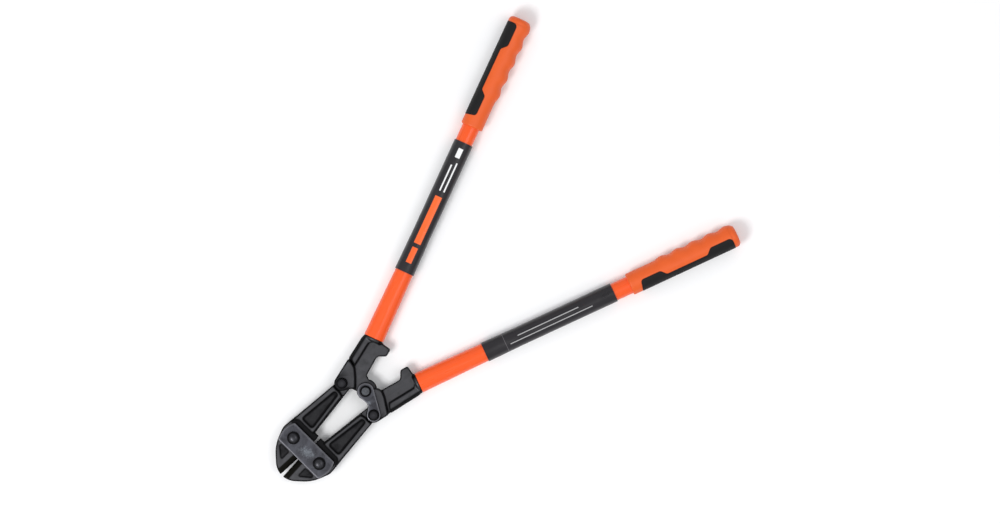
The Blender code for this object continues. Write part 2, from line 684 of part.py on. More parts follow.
def main():
    clear_scene()
    forged = material("forged_steel", (0.045, 0.046, 0.050), 0.48, 0.6)
    plate = material("blued_plate", (0.105, 0.110, 0.125), 0.38, 0.8)
    black = material("black_oxide", (0.020, 0.020, 0.022), 0.42, 0.7)
    bright = material("turned_steel", (0.170, 0.170, 0.175), 0.40, 0.8)
    orange = material("orange_enamel", (0.960, 0.155, 0.033), 0.35, 0.0)
    moulded = material("orange_moulding", (0.860, 0.150, 0.036), 0.48, 0.0)
    sleeve = material("black_sleeve", (0.038, 0.037, 0.042), 0.38, 0.0)
    soft = material("soft_insert", (0.020, 0.020, 0.021), 0.62, 0.0)

    straps = Body("straps", (0.0, 0.0), 1)
    build_straps(straps, plate, black)
    handles = {}
    for hand, side in (("left", 1), ("right", -1)):
        jaw = Body(f"jaw_{hand}", JAW_BOLT, side)
        build_jaw(jaw, f"jaw_{hand}", forged)
        handles[hand] = Body(f"handle_{hand}", TAIL, side, handle=True)
    left, right = handles["left"], handles["right"]
    build_levers(left, right, forged)
    build_link_plates(right, plate)

    build_washer(right, "pivot_washer", (0.0, 0.0), LINK_TOP + GAP, black)
    head_seat = 2 * GAP + WASHER_THICK
    build_bolt(right, "pivot_bolt", (0.0, 0.0), (-MID_HEIGHT, LINK_TOP + head_seat),
               plain_head(SHANK + PIVOT_RIM, 2.8), bright)
    build_nut(right, "pivot_nut", (0.0, 0.0), -LINK_TOP - GAP, black)
    for hand, seat in (("left", CHEEK_TOP), ("right", LINK_TOP)):
        body = handles[hand]
        build_washer(body, f"tail_washer_{hand}", EYE, seat + GAP, black)
        build_bolt(body, f"tail_bolt_{hand}", EYE, (-seat - GAP - NUT_THICK, seat + head_seat),
                   plain_head(SHANK + TAIL_RIM, 2.8), black)
        build_nut(body, f"tail_nut_{hand}", EYE, -seat - GAP, black)
        build_tube(body, f"handle_tube_{hand}", orange)
        build_sleeve(body, f"handle_sleeve_{hand}", sleeve)
        build_grip(body, hand, moulded, soft)


main()
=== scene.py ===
"""The finish of a pair of compound-lever bolt cutters, laid flat and part open.

Each forging, plate, bolt, tube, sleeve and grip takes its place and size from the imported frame.
Lengths in this file are millimetres unless a name ends in _M; the scene itself is in metres.
"""

import json
import math

import bmesh
import bpy
import numpy as np
from mathutils import Matrix, Vector


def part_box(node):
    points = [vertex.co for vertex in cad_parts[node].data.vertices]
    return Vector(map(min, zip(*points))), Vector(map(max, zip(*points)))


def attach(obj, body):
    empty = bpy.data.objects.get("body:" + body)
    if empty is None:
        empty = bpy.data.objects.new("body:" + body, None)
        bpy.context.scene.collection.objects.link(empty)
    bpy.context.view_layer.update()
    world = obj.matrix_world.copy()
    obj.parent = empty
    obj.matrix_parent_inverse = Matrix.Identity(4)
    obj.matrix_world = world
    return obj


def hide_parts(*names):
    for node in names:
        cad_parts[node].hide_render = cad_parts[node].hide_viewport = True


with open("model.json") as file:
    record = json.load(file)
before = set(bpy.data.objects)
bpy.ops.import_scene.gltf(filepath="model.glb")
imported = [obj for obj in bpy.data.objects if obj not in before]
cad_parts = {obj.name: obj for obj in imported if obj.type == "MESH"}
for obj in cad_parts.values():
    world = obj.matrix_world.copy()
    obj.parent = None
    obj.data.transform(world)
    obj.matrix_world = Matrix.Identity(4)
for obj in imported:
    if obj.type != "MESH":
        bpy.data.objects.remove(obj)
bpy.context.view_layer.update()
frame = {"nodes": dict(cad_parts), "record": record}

MM = 0.001
HANDS = ("left", "right")
RECORD = frame["record"]
BODY_OF = {node: body for body, nodes in RECORD["behaviour"]["bodies"].items() for node in nodes}

# ---- forgings --------------------------------------------------------------------------------
FORGING_GRID = 0.36     # spacing of a forging's surface points
FORGING_TRIANGLES = 70000
EDGE_ROUND = 0.62          # spread of the smoothing that rounds a forging's edges
PLATE_GRID = 0.34
PLATE_TRIANGLES = 36000
PLATE_ROUND = 0.26
STEEP_SPREAD = 1.25        # how far scale and painted shade spread from a wall or a groove on to the faces
STEEP_GAIN = 2.2           # how soon a leaning wall holds full scale and painted shade; an upright one always does
GROUND_WIDTH = 7.6         # the ground face beside each cutting edge, from the tool's centreline
GROUND_KEPT = 0.88         # share of the edge rounding that grinding takes off again
RECESS = 6.5               # the low strip between the strap and the raised part of each arm
HEAD_HALF = 5.5            # half thickness of a jaw under the straps
ARM_FLOOR = 6.3            # half thickness at the floor of an arm's pocket
STRIP_SHADE = 0.85         # how dark the painted shade is in the low strip, and on the pockets' floors
FLOOR_SHADE = 0.26
HOOK_START = 44.0          # where a hook begins along its handle, and how far in from the axis
HOOK_INWARD = 12.0
HOOK_SPREAD = 1.5          # spread of the smoothing that rounds a hook's corners in plan
SPOT_FACE = 8.3            # radius of the spot face round each tail bolt, and the width of the painted shadow line on its border
SPOT_BORDER = 0.9
COLLAR_START = 54.5        # where a lever's collar begins along its handle
COLLAR_CROWN = 8.5         # half width of the collar's crown, where less scale and painted shade is left
COLLAR_SHADE_LEFT = 0.25        # how much of the scale and painted shade is left on the crown

# ---- grips -----------------------------------------------------------------------------------
GRIP_WAVE = 1.1            # height of the finger waves
WAVE_PITCH = 21.0
WAVES = 5
LEAD_WAIST = 0.9           # how much slimmer the straight part starts, in plan and in height
LEAD_THIN = 1.2
GRIP_NOSE = 1.8            # rounding of the grip's open end
GRIP_BUTT = 5.0            # rounding of its closed end
GRIP_LEAD = 26.5           # straight part before the waves
END_EASE = 0.15            # the finer rounding of the closed end starts this far back
GRIP_FLOOR = 11.7          # solid plastic behind the blind bore
SKIN = 0.25                # the hard grip lies this far below the soft insert's crown
LIP = 0.16                 # the small step down in the hard grip along the insert's border
INSERT_DEPTH = 1.5
INSERT_FRONT = 12.0        # from the grip's ends to the ends of the insert
INSERT_REAR = 7.5
INSERT_GAP = 0.12
INSERT_EDGE = 0.7          # rounding along the insert's border
LOBE_FRONT = 28.0          # length of the insert's front lobe
LOBE_REAR = 28.5
STRIP_REACH = 7.0          # from the grip's axis out to the insert's narrow strip


# ---- numbers and meshes ----------------------------------------------------------------------

def polar(radius, degrees, centre=(0.0, 0.0)):
    """The point at a radius and an angle from a centre."""
    turn = math.radians(degrees)
    return (centre[0] + radius * math.cos(turn), centre[1] + radius * math.sin(turn))


def rounded(corners, steps=6, closed=True):
    """An outline from corners (x, y) or (x, y, radius), each radius made an arc."""
    points = []
    for index, corner in enumerate(corners):
        here = Vector(corner[:2])
        at_end = not closed and index in (0, len(corners) - 1)
        if len(corner) == 2 or at_end:
            points.append(here[:])
            continue
        back = Vector(corners[index - 1][:2]) - here
        ahead = Vector(corners[(index + 1) % len(corners)][:2]) - here
        half = back.angle(ahead) / 2
        if half > math.radians(89.0):
            points.append(here[:])
            continue
        reach = min(corner[2] / math.tan(half), 0.48 * back.length, 0.48 * ahead.length)
        radius = reach * math.tan(half)
        centre = here + (back.normalized() + ahead.normalized()).normalized() * radius / math.sin(half)
        first = here + back.normalized() * reach - centre
        last = here + ahead.normalized() * reach - centre
        sweep = -math.degrees(first.angle_signed(last))
        start = math.degrees(math.atan2(first.y, first.x))
        points += [polar(radius, start + sweep * k / steps, centre) for k in range(steps + 1)]
    return points


def points_of(mesh):
    """A mesh's points as an array."""
    flat = np.empty(len(mesh.vertices) * 3)
    mesh.vertices.foreach_get("co", flat)
    return flat.reshape(-1, 3)


def set_points(mesh, points):
    """Moves a mesh's points to new places."""
    mesh.vertices.foreach_set("co", np.ascontiguousarray(points, dtype=np.float32).ravel())
    mesh.update()


def write_attribute(mesh, name, values):
    """A number on each of a mesh's points, for its material to read."""
    numbers = np.ascontiguousarray(values, dtype=np.float32).ravel()
    mesh.attributes.new(name, "FLOAT", "POINT").data.foreach_set("value", numbers)


def band(low, high, count):
    """Faces between two rings of points, from the places of their first points."""
    return [[low + k, low + (k + 1) % count, high + (k + 1) % count, high + k] for k in range(count)]


def new_object(name, data):
    """An object in the scene, at the origin."""
    made = bpy.data.objects.new(name, data)
    bpy.context.scene.collection.objects.link(made)
    return made


def mesh_piece(name, points, faces, frame_matrix=None):
    """A piece from points in millimetres, in a frame whose units are metres."""
    mesh = bpy.data.meshes.new(name)
    mesh.from_pydata([tuple(p) for p in np.asarray(points) * MM], [], faces)
    if frame_matrix is not None:
        mesh.transform(frame_matrix)
        if frame_matrix.determinant() < 0:
            mesh.flip_normals()
    return new_object(name, mesh)


def shade(piece, degrees=35.0):
    """Smooth shading, with edges sharper than an angle left crisp."""
    piece.data.shade_smooth()
    piece.data.set_sharp_from_angle(angle=math.radians(degrees))
    return piece


def finish_piece(piece, *materials):
    """The piece with its materials, in slot order."""
    piece.data.materials.clear()
    for made in materials:
        piece.data.materials.append(made)
    return piece


def applied(piece):
    """The piece with its modifiers made part of its mesh."""
    depsgraph = bpy.context.evaluated_depsgraph_get()
    mesh = bpy.data.meshes.new_from_object(piece.evaluated_get(depsgraph))
    piece.modifiers.clear()
    old = piece.data
    piece.data = mesh
    bpy.data.meshes.remove(old)
    mesh.name = piece.name
    return piece


def relax(values, edges, rounds, strength=0.5, weight=1.0):
    """Values on a mesh's points, each moved towards the mean of its neighbours, some rounds."""
    size = len(values)
    ends = np.concatenate([edges, edges[:, ::-1]])
    count = np.bincount(ends[:, 0], minlength=size)[:, None]
    share = strength * np.reshape(weight, (-1, 1))
    for _ in range(rounds):
        columns = [np.bincount(ends[:, 0], column[ends[:, 1]], minlength=size) for column in values.T]
        values = values + (np.stack(columns, axis=1) / count - values) * share
    return values


def rounds_for(spread, grid, strength=0.5):
    """How many rounds of relax spread a value over a distance on a grid."""
    return max(1, round(2 * (spread / grid) ** 2 / strength))


def stand_in(piece, *nodes):
    """A finished piece takes the place of CAD nodes, on their body."""
    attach(piece, BODY_OF[nodes[0]])
    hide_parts(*nodes)
    return piece


class Lie:
    """Where a handle lies: x along its tube, y outwards from the tool's middle, z up."""

    def __init__(self, hand):
        points = points_of(frame["nodes"][f"handle_tube_{hand}"].data) / MM
        low, high = points.min(axis=0), points.max(axis=0)
        mid = points - (low + high) / 2
        self.hand = hand
        self.side = 1 if hand == "left" else -1
        along = np.linalg.svd(mid, full_matrices=False)[2][0]
        along = along if along[0] > 0 else -along
        outward = np.array([-along[1], along[0], 0.0]) * self.side
        self.height = (low[2] + high[2]) / 2
        self.matrix = Matrix((
            (along[0], outward[0], 0.0, 0.0), (along[1], outward[1], 0.0, 0.0),
            (0.0, 0.0, 1.0, self.height * MM), (0.0, 0.0, 0.0, 1.0)))
        self.turn = math.atan2(along[1], along[0])
        inside = self.points(f"handle_tube_{hand}")
        self.offset = float((inside[:, 1].min() + inside[:, 1].max()) / 2)

    def points(self, node):
        """A CAD node's points in this frame, in millimetres."""
        back = np.array(self.matrix.inverted())
        points = points_of(frame["nodes"][node].data)
        return (points @ back[:3, :3].T + back[:3, 3]) / MM

    def axis(self):
        """The frame of a lathe shape along the tube."""
        return (self.matrix @ Matrix.Translation((0.0, self.offset * MM, 0.0))
                @ Matrix.Rotation(math.pi / 2, 4, "Y"))

    def rings(self, node):
        """The rings of a tube: (distance along, outer radius, inner radius)."""
        points = self.points(node)
        radius = np.hypot(points[:, 1] - self.offset, points[:, 2])
        along = points[:, 0].round(2)
        return [(float(a), float(radius[along == a].max()), float(radius[along == a].min()))
                for a in np.unique(along)]


LIES = {hand: Lie(hand) for hand in HANDS}


def lathe(name, profile, matrix, sides=96):
    """A turned piece: (distance along, radius) points about the frame's z axis. It is solid where
    its profile ends on the axis, and a ring where the profile is a closed loop."""
    rows = [p for p in profile if p[1] > 1e-6]
    solid = len(rows) < len(profile)
    points = [(*polar(radius, 360 * k / sides), along) for along, radius in rows for k in range(sides)]
    faces = []
    for row in range(len(rows) - 1 if solid else len(rows)):
        faces += band(row * sides, (row + 1) % len(rows) * sides, sides)
    if solid:
        for row, step in ((0, -1), (len(rows) - 1, 1)):
            ring = [row * sides + k for k in range(sides)][::step]
            points.append((0.0, 0.0, profile[0 if row == 0 else -1][0]))
            faces += [[ring[k - 1], ring[k], len(points) - 1] for k in range(sides)]
    return mesh_piece(name, points, faces, matrix)


# ---- materials -------------------------------------------------------------------------------

def linear(code):
    """A hex colour as linear red, green, blue and alpha."""
    shares = [int(code[i:i + 2], 16) / 255 for i in (1, 3, 5)]
    return (*[s / 12.92 if s <= 0.04045 else ((s + 0.055) / 1.055) ** 2.4 for s in shares], 1.0)


def add(tree, kind, inputs=(), out=0, **settings):
    """Adds a node and returns one of its outputs. Settings are the node's own; inputs map a
    socket to a value, or to the output that feeds it."""
    made = tree.nodes.new(kind)
    for key, value in settings.items():
        setattr(made, key, value)
    for key, value in dict(inputs).items():
        if isinstance(value, bpy.types.NodeSocket):
            tree.links.new(value, made.inputs[key])
        else:
            made.inputs[key].default_value = value
    return made.outputs[out] if made.outputs else made


class Finish:
    """A material under way: its tree, its shader, and places on the surface in millimetres."""

    def __init__(self, name, **values):
        self.material = bpy.data.materials.new(name)
        self.material.use_nodes = True
        self.tree = self.material.node_tree
        self.shader = self.tree.nodes["Principled BSDF"]
        for key, value in values.items():
            self.shader.inputs[key.replace("_", " ")].default_value = value

    def add(self, kind, inputs=(), out=0, **settings):
        return add(self.tree, kind, inputs, out, **settings)

    def drive(self, **sockets):
        """Links outputs to the shader and returns the material."""
        for key, socket in sockets.items():
            self.tree.links.new(socket, self.shader.inputs[key.replace("_", " ")])
        return self.material

    def place(self, centre=(0.0, 0.0, 0.0), turn=0.0, stretch=(1.0, 1.0, 1.0)):
        """Millimetres about a centre, turned about z, each axis divided by its stretch."""
        there = self.add("ShaderNodeTexCoord", out="Object")
        moved = self.add("ShaderNodeMapping", {"Vector": there, "Location": [-c * MM for c in centre]})
        turned = self.add("ShaderNodeMapping", {"Vector": moved, "Rotation": (0.0, 0.0, -turn)})
        return self.add("ShaderNodeMapping", {"Vector": turned, "Scale": [1 / (s * MM) for s in stretch]})


def forged_steel():
    """Drop-forged alloy steel, tumbled and oil-blacked: satin grey faces, darkened on the drafted walls,
    in the grooves and along the edges by black scale and by painted shade."""
    made = Finish("forged_oil_blacked_steel", Metallic=0.8)
    place = made.place()
    scale_and_shading = made.add("ShaderNodeAttribute", out="Fac", attribute_name="scale_and_shading")
    cloud = made.add("ShaderNodeTexNoise", {"Vector": place, "Scale": 1 / 9.0, "Detail": 5.0})
    pits = made.add("ShaderNodeTexNoise", {"Vector": place, "Scale": 1 / 0.8, "Detail": 3.0})
    patchy = made.add("ShaderNodeMath", {0: cloud, 1: 0.26, 2: scale_and_shading}, operation="MULTIPLY_ADD")
    scale_and_shade_cover = made.add("ShaderNodeMapRange", {"Value": patchy, "From Min": 0.20, "From Max": 0.48})
    mottle = made.add("ShaderNodeMapRange", {"Value": cloud, "From Min": 0.32, "From Max": 0.68})
    face = made.add("ShaderNodeMix", {0: mottle, 6: linear("#39393b"), 7: linear("#47474a")}, out=2,
                    data_type="RGBA")
    # The near-black is black scale together with painted shade on the walls, in the grooves and along the
    # edges.
    colour = made.add("ShaderNodeMix", {0: scale_and_shade_cover, 6: face, 7: linear("#08080a")}, out=2,
                      data_type="RGBA")
    smooth = made.add("ShaderNodeMapRange", {"Value": pits, "From Min": 0.3, "From Max": 0.7,
                                             "To Min": 0.40, "To Max": 0.53})
    rough = made.add("ShaderNodeMath", {0: scale_and_shade_cover, 1: 0.16, 2: smooth}, operation="MULTIPLY_ADD")
    swell = made.add("ShaderNodeTexNoise", {"Vector": place, "Scale": 1 / 5.0, "Detail": 2.0})
    coarse = made.add("ShaderNodeBump", {"Height": swell, "Distance": 0.14 * MM, "Strength": 0.5})
    bump = made.add("ShaderNodeBump", {"Height": pits, "Distance": 0.05 * MM, "Strength": 0.6,
                                       "Normal": coarse})
    return made.drive(Base_Color=colour, Roughness=rough, Normal=bump)


def ground_steel():
    """The cutting faces: surface ground across the edge, then oil-blacked with the jaw, so they
    are near black with fine cross lines."""
    made = Finish("ground_and_blacked_steel", Metallic=0.8)
    lines = made.place(stretch=(0.22, 7.0, 7.0))
    marks = made.add("ShaderNodeTexNoise", {"Vector": lines, "Scale": 1.0, "Detail": 3.0})
    colour = made.add("ShaderNodeMix", {0: marks, 6: linear("#0b0a06"), 7: linear("#1d1b14")}, out=2,
                      data_type="RGBA")
    rough = made.add("ShaderNodeMapRange", {"Value": marks, "To Min": 0.30, "To Max": 0.46})
    bump = made.add("ShaderNodeBump", {"Height": marks, "Distance": 0.03 * MM, "Strength": 0.7})
    return made.drive(Base_Color=colour, Roughness=rough, Normal=bump)


def blued_plate(name, patch, reach):
    """Blanked steel plate with a blued finish: cool grey and cloudy, crossed by fine handling
    scratches, rubbed bright round one spot, and with a painted highlight along its edges."""
    made = Finish(name, Metallic=0.9)
    place = made.place()
    cloud = made.add("ShaderNodeTexNoise", {"Vector": place, "Scale": 1 / 11.0, "Detail": 6.0,
                                            "Roughness": 0.62, "Distortion": 0.8})
    colour = made.add("ShaderNodeMix", {0: made.add("ShaderNodeMapRange", {
        "Value": cloud, "From Min": 0.33, "From Max": 0.68}), 6: linear("#343438"), 7: linear("#494a50")},
        out=2, data_type="RGBA")
    spot = made.add("ShaderNodeVectorMath", {0: made.place(patch, 0.35, (reach, reach * 1.7, 60.0))},
                    out="Value", operation="LENGTH")
    broken = made.add("ShaderNodeTexNoise", {"Vector": place, "Scale": 1 / 3.6, "Detail": 5.0,
                                             "Roughness": 0.6, "Distortion": 1.6})
    ragged = made.add("ShaderNodeMath", {0: broken, 1: -2.6, 2: spot}, operation="MULTIPLY_ADD")
    rubbed = made.add("ShaderNodeMapRange", {"Value": ragged, "From Min": -0.45, "From Max": -1.25,
                                             "To Max": 0.8})
    colour = made.add("ShaderNodeMix", {0: rubbed, 6: colour, 7: linear("#6b7076")}, out=2,
                      data_type="RGBA")
    scratches = []
    for turn, stretch in ((0.5, (0.30, 14.0, 5.0)), (-0.75, (0.34, 18.0, 5.0)), (1.4, (0.26, 11.0, 5.0))):
        hairs = made.add("ShaderNodeTexNoise", {"Vector": made.place(turn=turn, stretch=stretch),
                                                "Scale": 1.0, "Detail": 2.0})
        scratches.append(made.add("ShaderNodeMapRange", {"Value": hairs, "From Min": 0.66, "From Max": 0.76}))
    crossed = made.add("ShaderNodeMath", {0: scratches[0], 1: scratches[1]}, operation="MAXIMUM")
    crossed = made.add("ShaderNodeMath", {0: crossed, 1: scratches[2]}, operation="MAXIMUM")
    light = made.add("ShaderNodeMath", {0: crossed, 1: 0.45}, operation="MULTIPLY")
    colour = made.add("ShaderNodeMix", {0: light, 6: colour, 7: linear("#696b71")}, out=2,
                      data_type="RGBA")
    # Painted highlight: the broken edges are drawn lighter, as if catching the light.
    edge = made.add("ShaderNodeAttribute", out="Fac", attribute_name="scale_and_shading")
    rim = made.add("ShaderNodeMapRange", {"Value": edge, "From Min": 0.05, "From Max": 0.5})
    colour = made.add("ShaderNodeMix", {0: rim, 6: colour, 7: linear("#6a6a6f")}, out=2,
                      data_type="RGBA")
    rough = made.add("ShaderNodeMapRange", {"Value": cloud, "From Min": 0.3, "From Max": 0.7,
                                            "To Min": 0.34, "To Max": 0.50})
    bump = made.add("ShaderNodeBump", {"Height": crossed, "Distance": 0.02 * MM, "Strength": 0.5},
                    invert=True)
    return made.drive(Base_Color=colour, Roughness=rough, Normal=bump)


def black_oxide():
    """Cold-headed bolts and nuts in hot black oxide: deep black, satin, faintly grained."""
    made = Finish("black_oxide_fastener", Metallic=0.9)
    place = made.place()
    cloud = made.add("ShaderNodeTexNoise", {"Vector": place, "Scale": 1 / 2.5, "Detail": 4.0})
    fine = made.add("ShaderNodeTexNoise", {"Vector": place, "Scale": 1 / 0.5, "Detail": 2.0})
    colour = made.add("ShaderNodeMix", {0: cloud, 6: linear("#303033"), 7: linear("#424246")}, out=2,
                      data_type="RGBA")
    # Painted shade: darkest where the attribute is 1, on the jaw bolts' flanges, the low heads' rims and the
    # washers.
    scale_and_shading = made.add("ShaderNodeAttribute", out="Fac", attribute_name="scale_and_shading")
    colour = made.add("ShaderNodeMix", {0: scale_and_shading, 6: colour, 7: linear("#0c0c0e")}, out=2,
                      data_type="RGBA")
    rough = made.add("ShaderNodeMapRange", {"Value": fine, "From Min": 0.3, "From Max": 0.7,
                                            "To Min": 0.28, "To Max": 0.40})
    bump = made.add("ShaderNodeBump", {"Height": fine, "Distance": 0.02 * MM, "Strength": 0.5})
    return made.drive(Base_Color=colour, Roughness=rough, Normal=bump)


def turned_steel(centre):
    """The centre pivot's head: turned medium-carbon steel gone grey, with fine rings."""
    made = Finish("turned_steel_head", Metallic=1.0)
    place = made.place(centre)
    radius = made.add("ShaderNodeVectorMath", {0: made.place(centre, 0.0, (1.0, 1.0, 1e6))},
                      out="Value", operation="LENGTH")
    rings = made.add("ShaderNodeTexNoise", {"W": radius, "Scale": 1 / 0.28, "Detail": 2.0},
                     noise_dimensions="1D")
    cloud = made.add("ShaderNodeTexNoise", {"Vector": place, "Scale": 1 / 3.0, "Detail": 5.0})
    mixed = made.add("ShaderNodeMath", {0: rings, 1: cloud}, operation="MULTIPLY")
    shade = made.add("ShaderNodeMapRange", {"Value": mixed, "From Min": 0.12, "From Max": 0.38})
    colour = made.add("ShaderNodeMix", {0: shade, 6: linear("#3f4144"), 7: linear("#5d5f63")}, out=2,
                      data_type="RGBA")
    rough = made.add("ShaderNodeMapRange", {"Value": cloud, "To Min": 0.34, "To Max": 0.52})
    bump = made.add("ShaderNodeBump", {"Height": rings, "Distance": 0.03 * MM, "Strength": 0.5})
    return made.drive(Base_Color=colour, Roughness=rough, Normal=bump)


def powder_coat(lie):
    """Orange powder coat on drawn steel tube: glossy, with a faint orange-peel surface and long
    soft rub marks along the tube."""
    made = Finish(f"orange_powder_coat_{lie.hand}", Coat_Weight=0.10, Coat_Roughness=0.14)
    place = made.place()
    peel = made.add("ShaderNodeTexNoise", {"Vector": place, "Scale": 1 / 1.6, "Detail": 1.5})
    cloud = made.add("ShaderNodeTexNoise", {"Vector": place, "Scale": 1 / 24.0, "Detail": 3.0})
    rubs = made.add("ShaderNodeTexNoise", {
        "Vector": made.place(turn=lie.turn, stretch=(22.0, 0.7, 0.7)), "Scale": 1.0, "Detail": 3.0})
    tint = made.add("ShaderNodeMix", {0: cloud, 6: linear("#ec4f08"), 7: linear("#f2580c")}, out=2,
                    data_type="RGBA")
    worn = made.add("ShaderNodeMapRange", {"Value": rubs, "From Min": 0.60, "From Max": 0.80,
                                           "To Max": 0.45})
    colour = made.add("ShaderNodeMix", {0: worn, 6: tint, 7: linear("#fb7a3c")}, out=2, data_type="RGBA")
    rough = made.add("ShaderNodeMapRange", {"Value": rubs, "From Min": 0.3, "From Max": 0.8,
                                            "To Min": 0.26, "To Max": 0.42})
    bump = made.add("ShaderNodeBump", {"Height": peel, "Distance": 0.035 * MM, "Strength": 0.5})
    return made.drive(Base_Color=colour, Roughness=rough, Normal=bump)


def moulded_grip():
    """Injection-moulded polypropylene with a fine spark-eroded texture: satin orange."""
    made = Finish("moulded_orange_polypropylene", IOR=1.49)
    place = made.place()
    spark = made.add("ShaderNodeTexNoise", {"Vector": place, "Scale": 1 / 0.45, "Detail": 2.0})
    cloud = made.add("ShaderNodeTexNoise", {"Vector": place, "Scale": 1 / 16.0, "Detail": 4.0})
    soil = made.add("ShaderNodeAttribute", out="Fac", attribute_name="soil")
    tint = made.add("ShaderNodeMix", {0: cloud, 6: linear("#dc5510"), 7: linear("#e85f18")}, out=2,
                    data_type="RGBA")
    colour = made.add("ShaderNodeMix", {0: soil, 6: tint, 7: linear("#6a2a12")}, out=2,
                      data_type="RGBA")
    rough = made.add("ShaderNodeMapRange", {"Value": cloud, "From Min": 0.3, "From Max": 0.7,
                                            "To Min": 0.44, "To Max": 0.56})
    bump = made.add("ShaderNodeBump", {"Height": spark, "Distance": 0.03 * MM, "Strength": 0.6})
    return made.drive(Base_Color=colour, Roughness=rough, Normal=bump)


def soft_insert():
    """Over-moulded thermoplastic rubber: matt near-black with a fine stipple."""
    made = Finish("overmoulded_soft_rubber", Specular_IOR_Level=0.2)
    place = made.place()
    stipple = made.add("ShaderNodeTexVoronoi", {"Vector": place, "Scale": 1 / 0.75}, out="Distance")
    cloud = made.add("ShaderNodeTexNoise", {"Vector": place, "Scale": 1 / 13.0, "Detail": 4.0})
    colour = made.add("ShaderNodeMix", {0: cloud, 6: linear("#121213"), 7: linear("#1c1c1d")}, out=2,
                      data_type="RGBA")
    rough = made.add("ShaderNodeMapRange", {"Value": cloud, "From Min": 0.3, "From Max": 0.7,
                                            "To Min": 0.58, "To Max": 0.72})
    bump = made.add("ShaderNodeBump", {"Height": stipple, "Distance": 0.06 * MM, "Strength": 0.5},
                    invert=True)
    return made.drive(Base_Color=colour, Roughness=rough, Normal=bump)


PRINT_EDGE = 0.04      # half width of the soft edge of a printed bar


def shrink_sleeve(lie, bars):
    """Heat-shrunk printed vinyl film over the tube: soft-gloss black with faint drawn wrinkles.
    The print is plain bars: (from, to, low, high, colour) along and across the sleeve's top."""
    made = Finish(f"printed_vinyl_sleeve_{lie.hand}", Specular_IOR_Level=0.4)
    cloud = made.add("ShaderNodeTexNoise", {"Vector": made.place(), "Scale": 1 / 18.0, "Detail": 4.0})
    colour = made.add("ShaderNodeMix", {0: cloud, 6: linear("#19171a"), 7: linear("#242226")}, out=2,
                      data_type="RGBA")
    unrolled = made.add("ShaderNodeUVMap", uv_map="along_and_round")
    along, across = [made.add("ShaderNodeSeparateXYZ", {0: unrolled}, out=axis) for axis in ("X", "Y")]
    for start, end, low, high, tint in bars:
        inside = None
        for value, near, far in ((along, start, end), (across, low, high)):
            half = (far - near) / 2
            off = made.add("ShaderNodeMath", {0: value, 1: (near + far) / 2}, operation="SUBTRACT")
            off = made.add("ShaderNodeMath", {0: off}, operation="ABSOLUTE")
            within = made.add("ShaderNodeMapRange", {"Value": off, "From Min": half + PRINT_EDGE,
                                                     "From Max": half - PRINT_EDGE})
            inside = within if inside is None else made.add(
                "ShaderNodeMath", {0: inside, 1: within}, operation="MULTIPLY")
        colour = made.add("ShaderNodeMix", {0: inside, 6: colour, 7: linear(tint)}, out=2,
                          data_type="RGBA")
    drawn = made.add("ShaderNodeTexNoise", {
        "Vector": made.place(turn=lie.turn + 0.5, stretch=(9.0, 1.6, 3.0)), "Scale": 1.0, "Detail": 3.0,
        "Distortion": 0.6})
    creased = made.add("ShaderNodeMapRange", {"Value": drawn, "From Min": 0.60, "From Max": 0.74})
    rough = made.add("ShaderNodeMapRange", {"Value": cloud, "From Min": 0.3, "From Max": 0.7,
                                            "To Min": 0.27, "To Max": 0.42})
    bump = made.add("ShaderNodeBump", {"Height": creased, "Distance": 0.12 * MM, "Strength": 0.35})
    return made.drive(Base_Color=colour, Roughness=rough, Normal=bump)


def pale_floor():
    """A matt painted studio floor."""
    made = Finish("matt_white_floor", Roughness=0.9)
    cloud = made.add("ShaderNodeTexNoise", {"Vector": made.place(), "Scale": 1 / 300.0, "Detail": 2.0})
    colour = made.add("ShaderNodeMix", {0: cloud, 6: linear("#f8f8f8"), 7: linear("#fafafa")}, out=2,
                      data_type="RGBA")
    return made.drive(Base_Color=colour)


# ---- forgings and plates -----------------------------------------------------------------------

def even_skin(node, name, grid, spread, triangles, weight=None, painted_shade=None, planned=None,
              lighter_zone=None):
    """A copy of a CAD node re-skinned on an even grid, its edges rounded over a distance. The
    attribute written here is 1 on walls and fades to 0 on faces away from them: on the forgings it
    marks black scale together with painted shade, on the plates a painted highlight along the edges.
    The callers' functions of the points, in order: how much to round, what painted shade to add,
    where to round in plan, and how much of the scale and painted shade is left."""
    mesh = frame["nodes"][node].data.copy()
    mesh.materials.clear()
    mesh.transform(Matrix.Scale(1 / MM, 4))
    merged = bmesh.new()
    merged.from_mesh(mesh)
    bmesh.ops.remove_doubles(merged, verts=merged.verts, dist=0.001)
    merged.to_mesh(mesh)
    merged.free()
    piece = new_object(name, mesh)
    skin = piece.modifiers.new("skin", "REMESH")
    skin.mode = "VOXEL"
    skin.voxel_size = grid
    applied(piece)
    points = points_of(piece.data)
    edges = np.empty(len(piece.data.edges) * 2, dtype=np.int32)
    piece.data.edges.foreach_get("vertices", edges)
    edges = edges.reshape(-1, 2)
    free = 1.0 if weight is None else weight(points)
    points = relax(points, edges, rounds_for(spread, grid), weight=free)
    if planned is not None:
        points[:, :2] = relax(points[:, :2], edges, rounds_for(HOOK_SPREAD, grid), weight=planned(points))
    set_points(piece.data, points)
    normals = np.empty(len(points) * 3)
    piece.data.vertex_normals.foreach_get("vector", normals)
    # Leaning walls: black scale with painted shade on the forgings, a painted highlight on the plates' edges.
    steep = np.minimum(STEEP_GAIN * (1.0 - np.abs(normals.reshape(-1, 3)[:, 2:])), 1.0)
    if painted_shade is not None:
        steep = np.maximum(steep, painted_shade(points)[:, None])
    if lighter_zone is not None:
        steep = steep * lighter_zone(points)[:, None]
    steep = relax(steep, edges, rounds_for(STEEP_SPREAD, grid))
    write_attribute(piece.data, "scale_and_shading", steep)
    thin = piece.modifiers.new("thin", "DECIMATE")
    thin.ratio = min(1.0, triangles / (2 * len(piece.data.polygons)))
    applied(piece).data.validate()
    piece.data.transform(Matrix.Scale(MM, 4))
    return piece


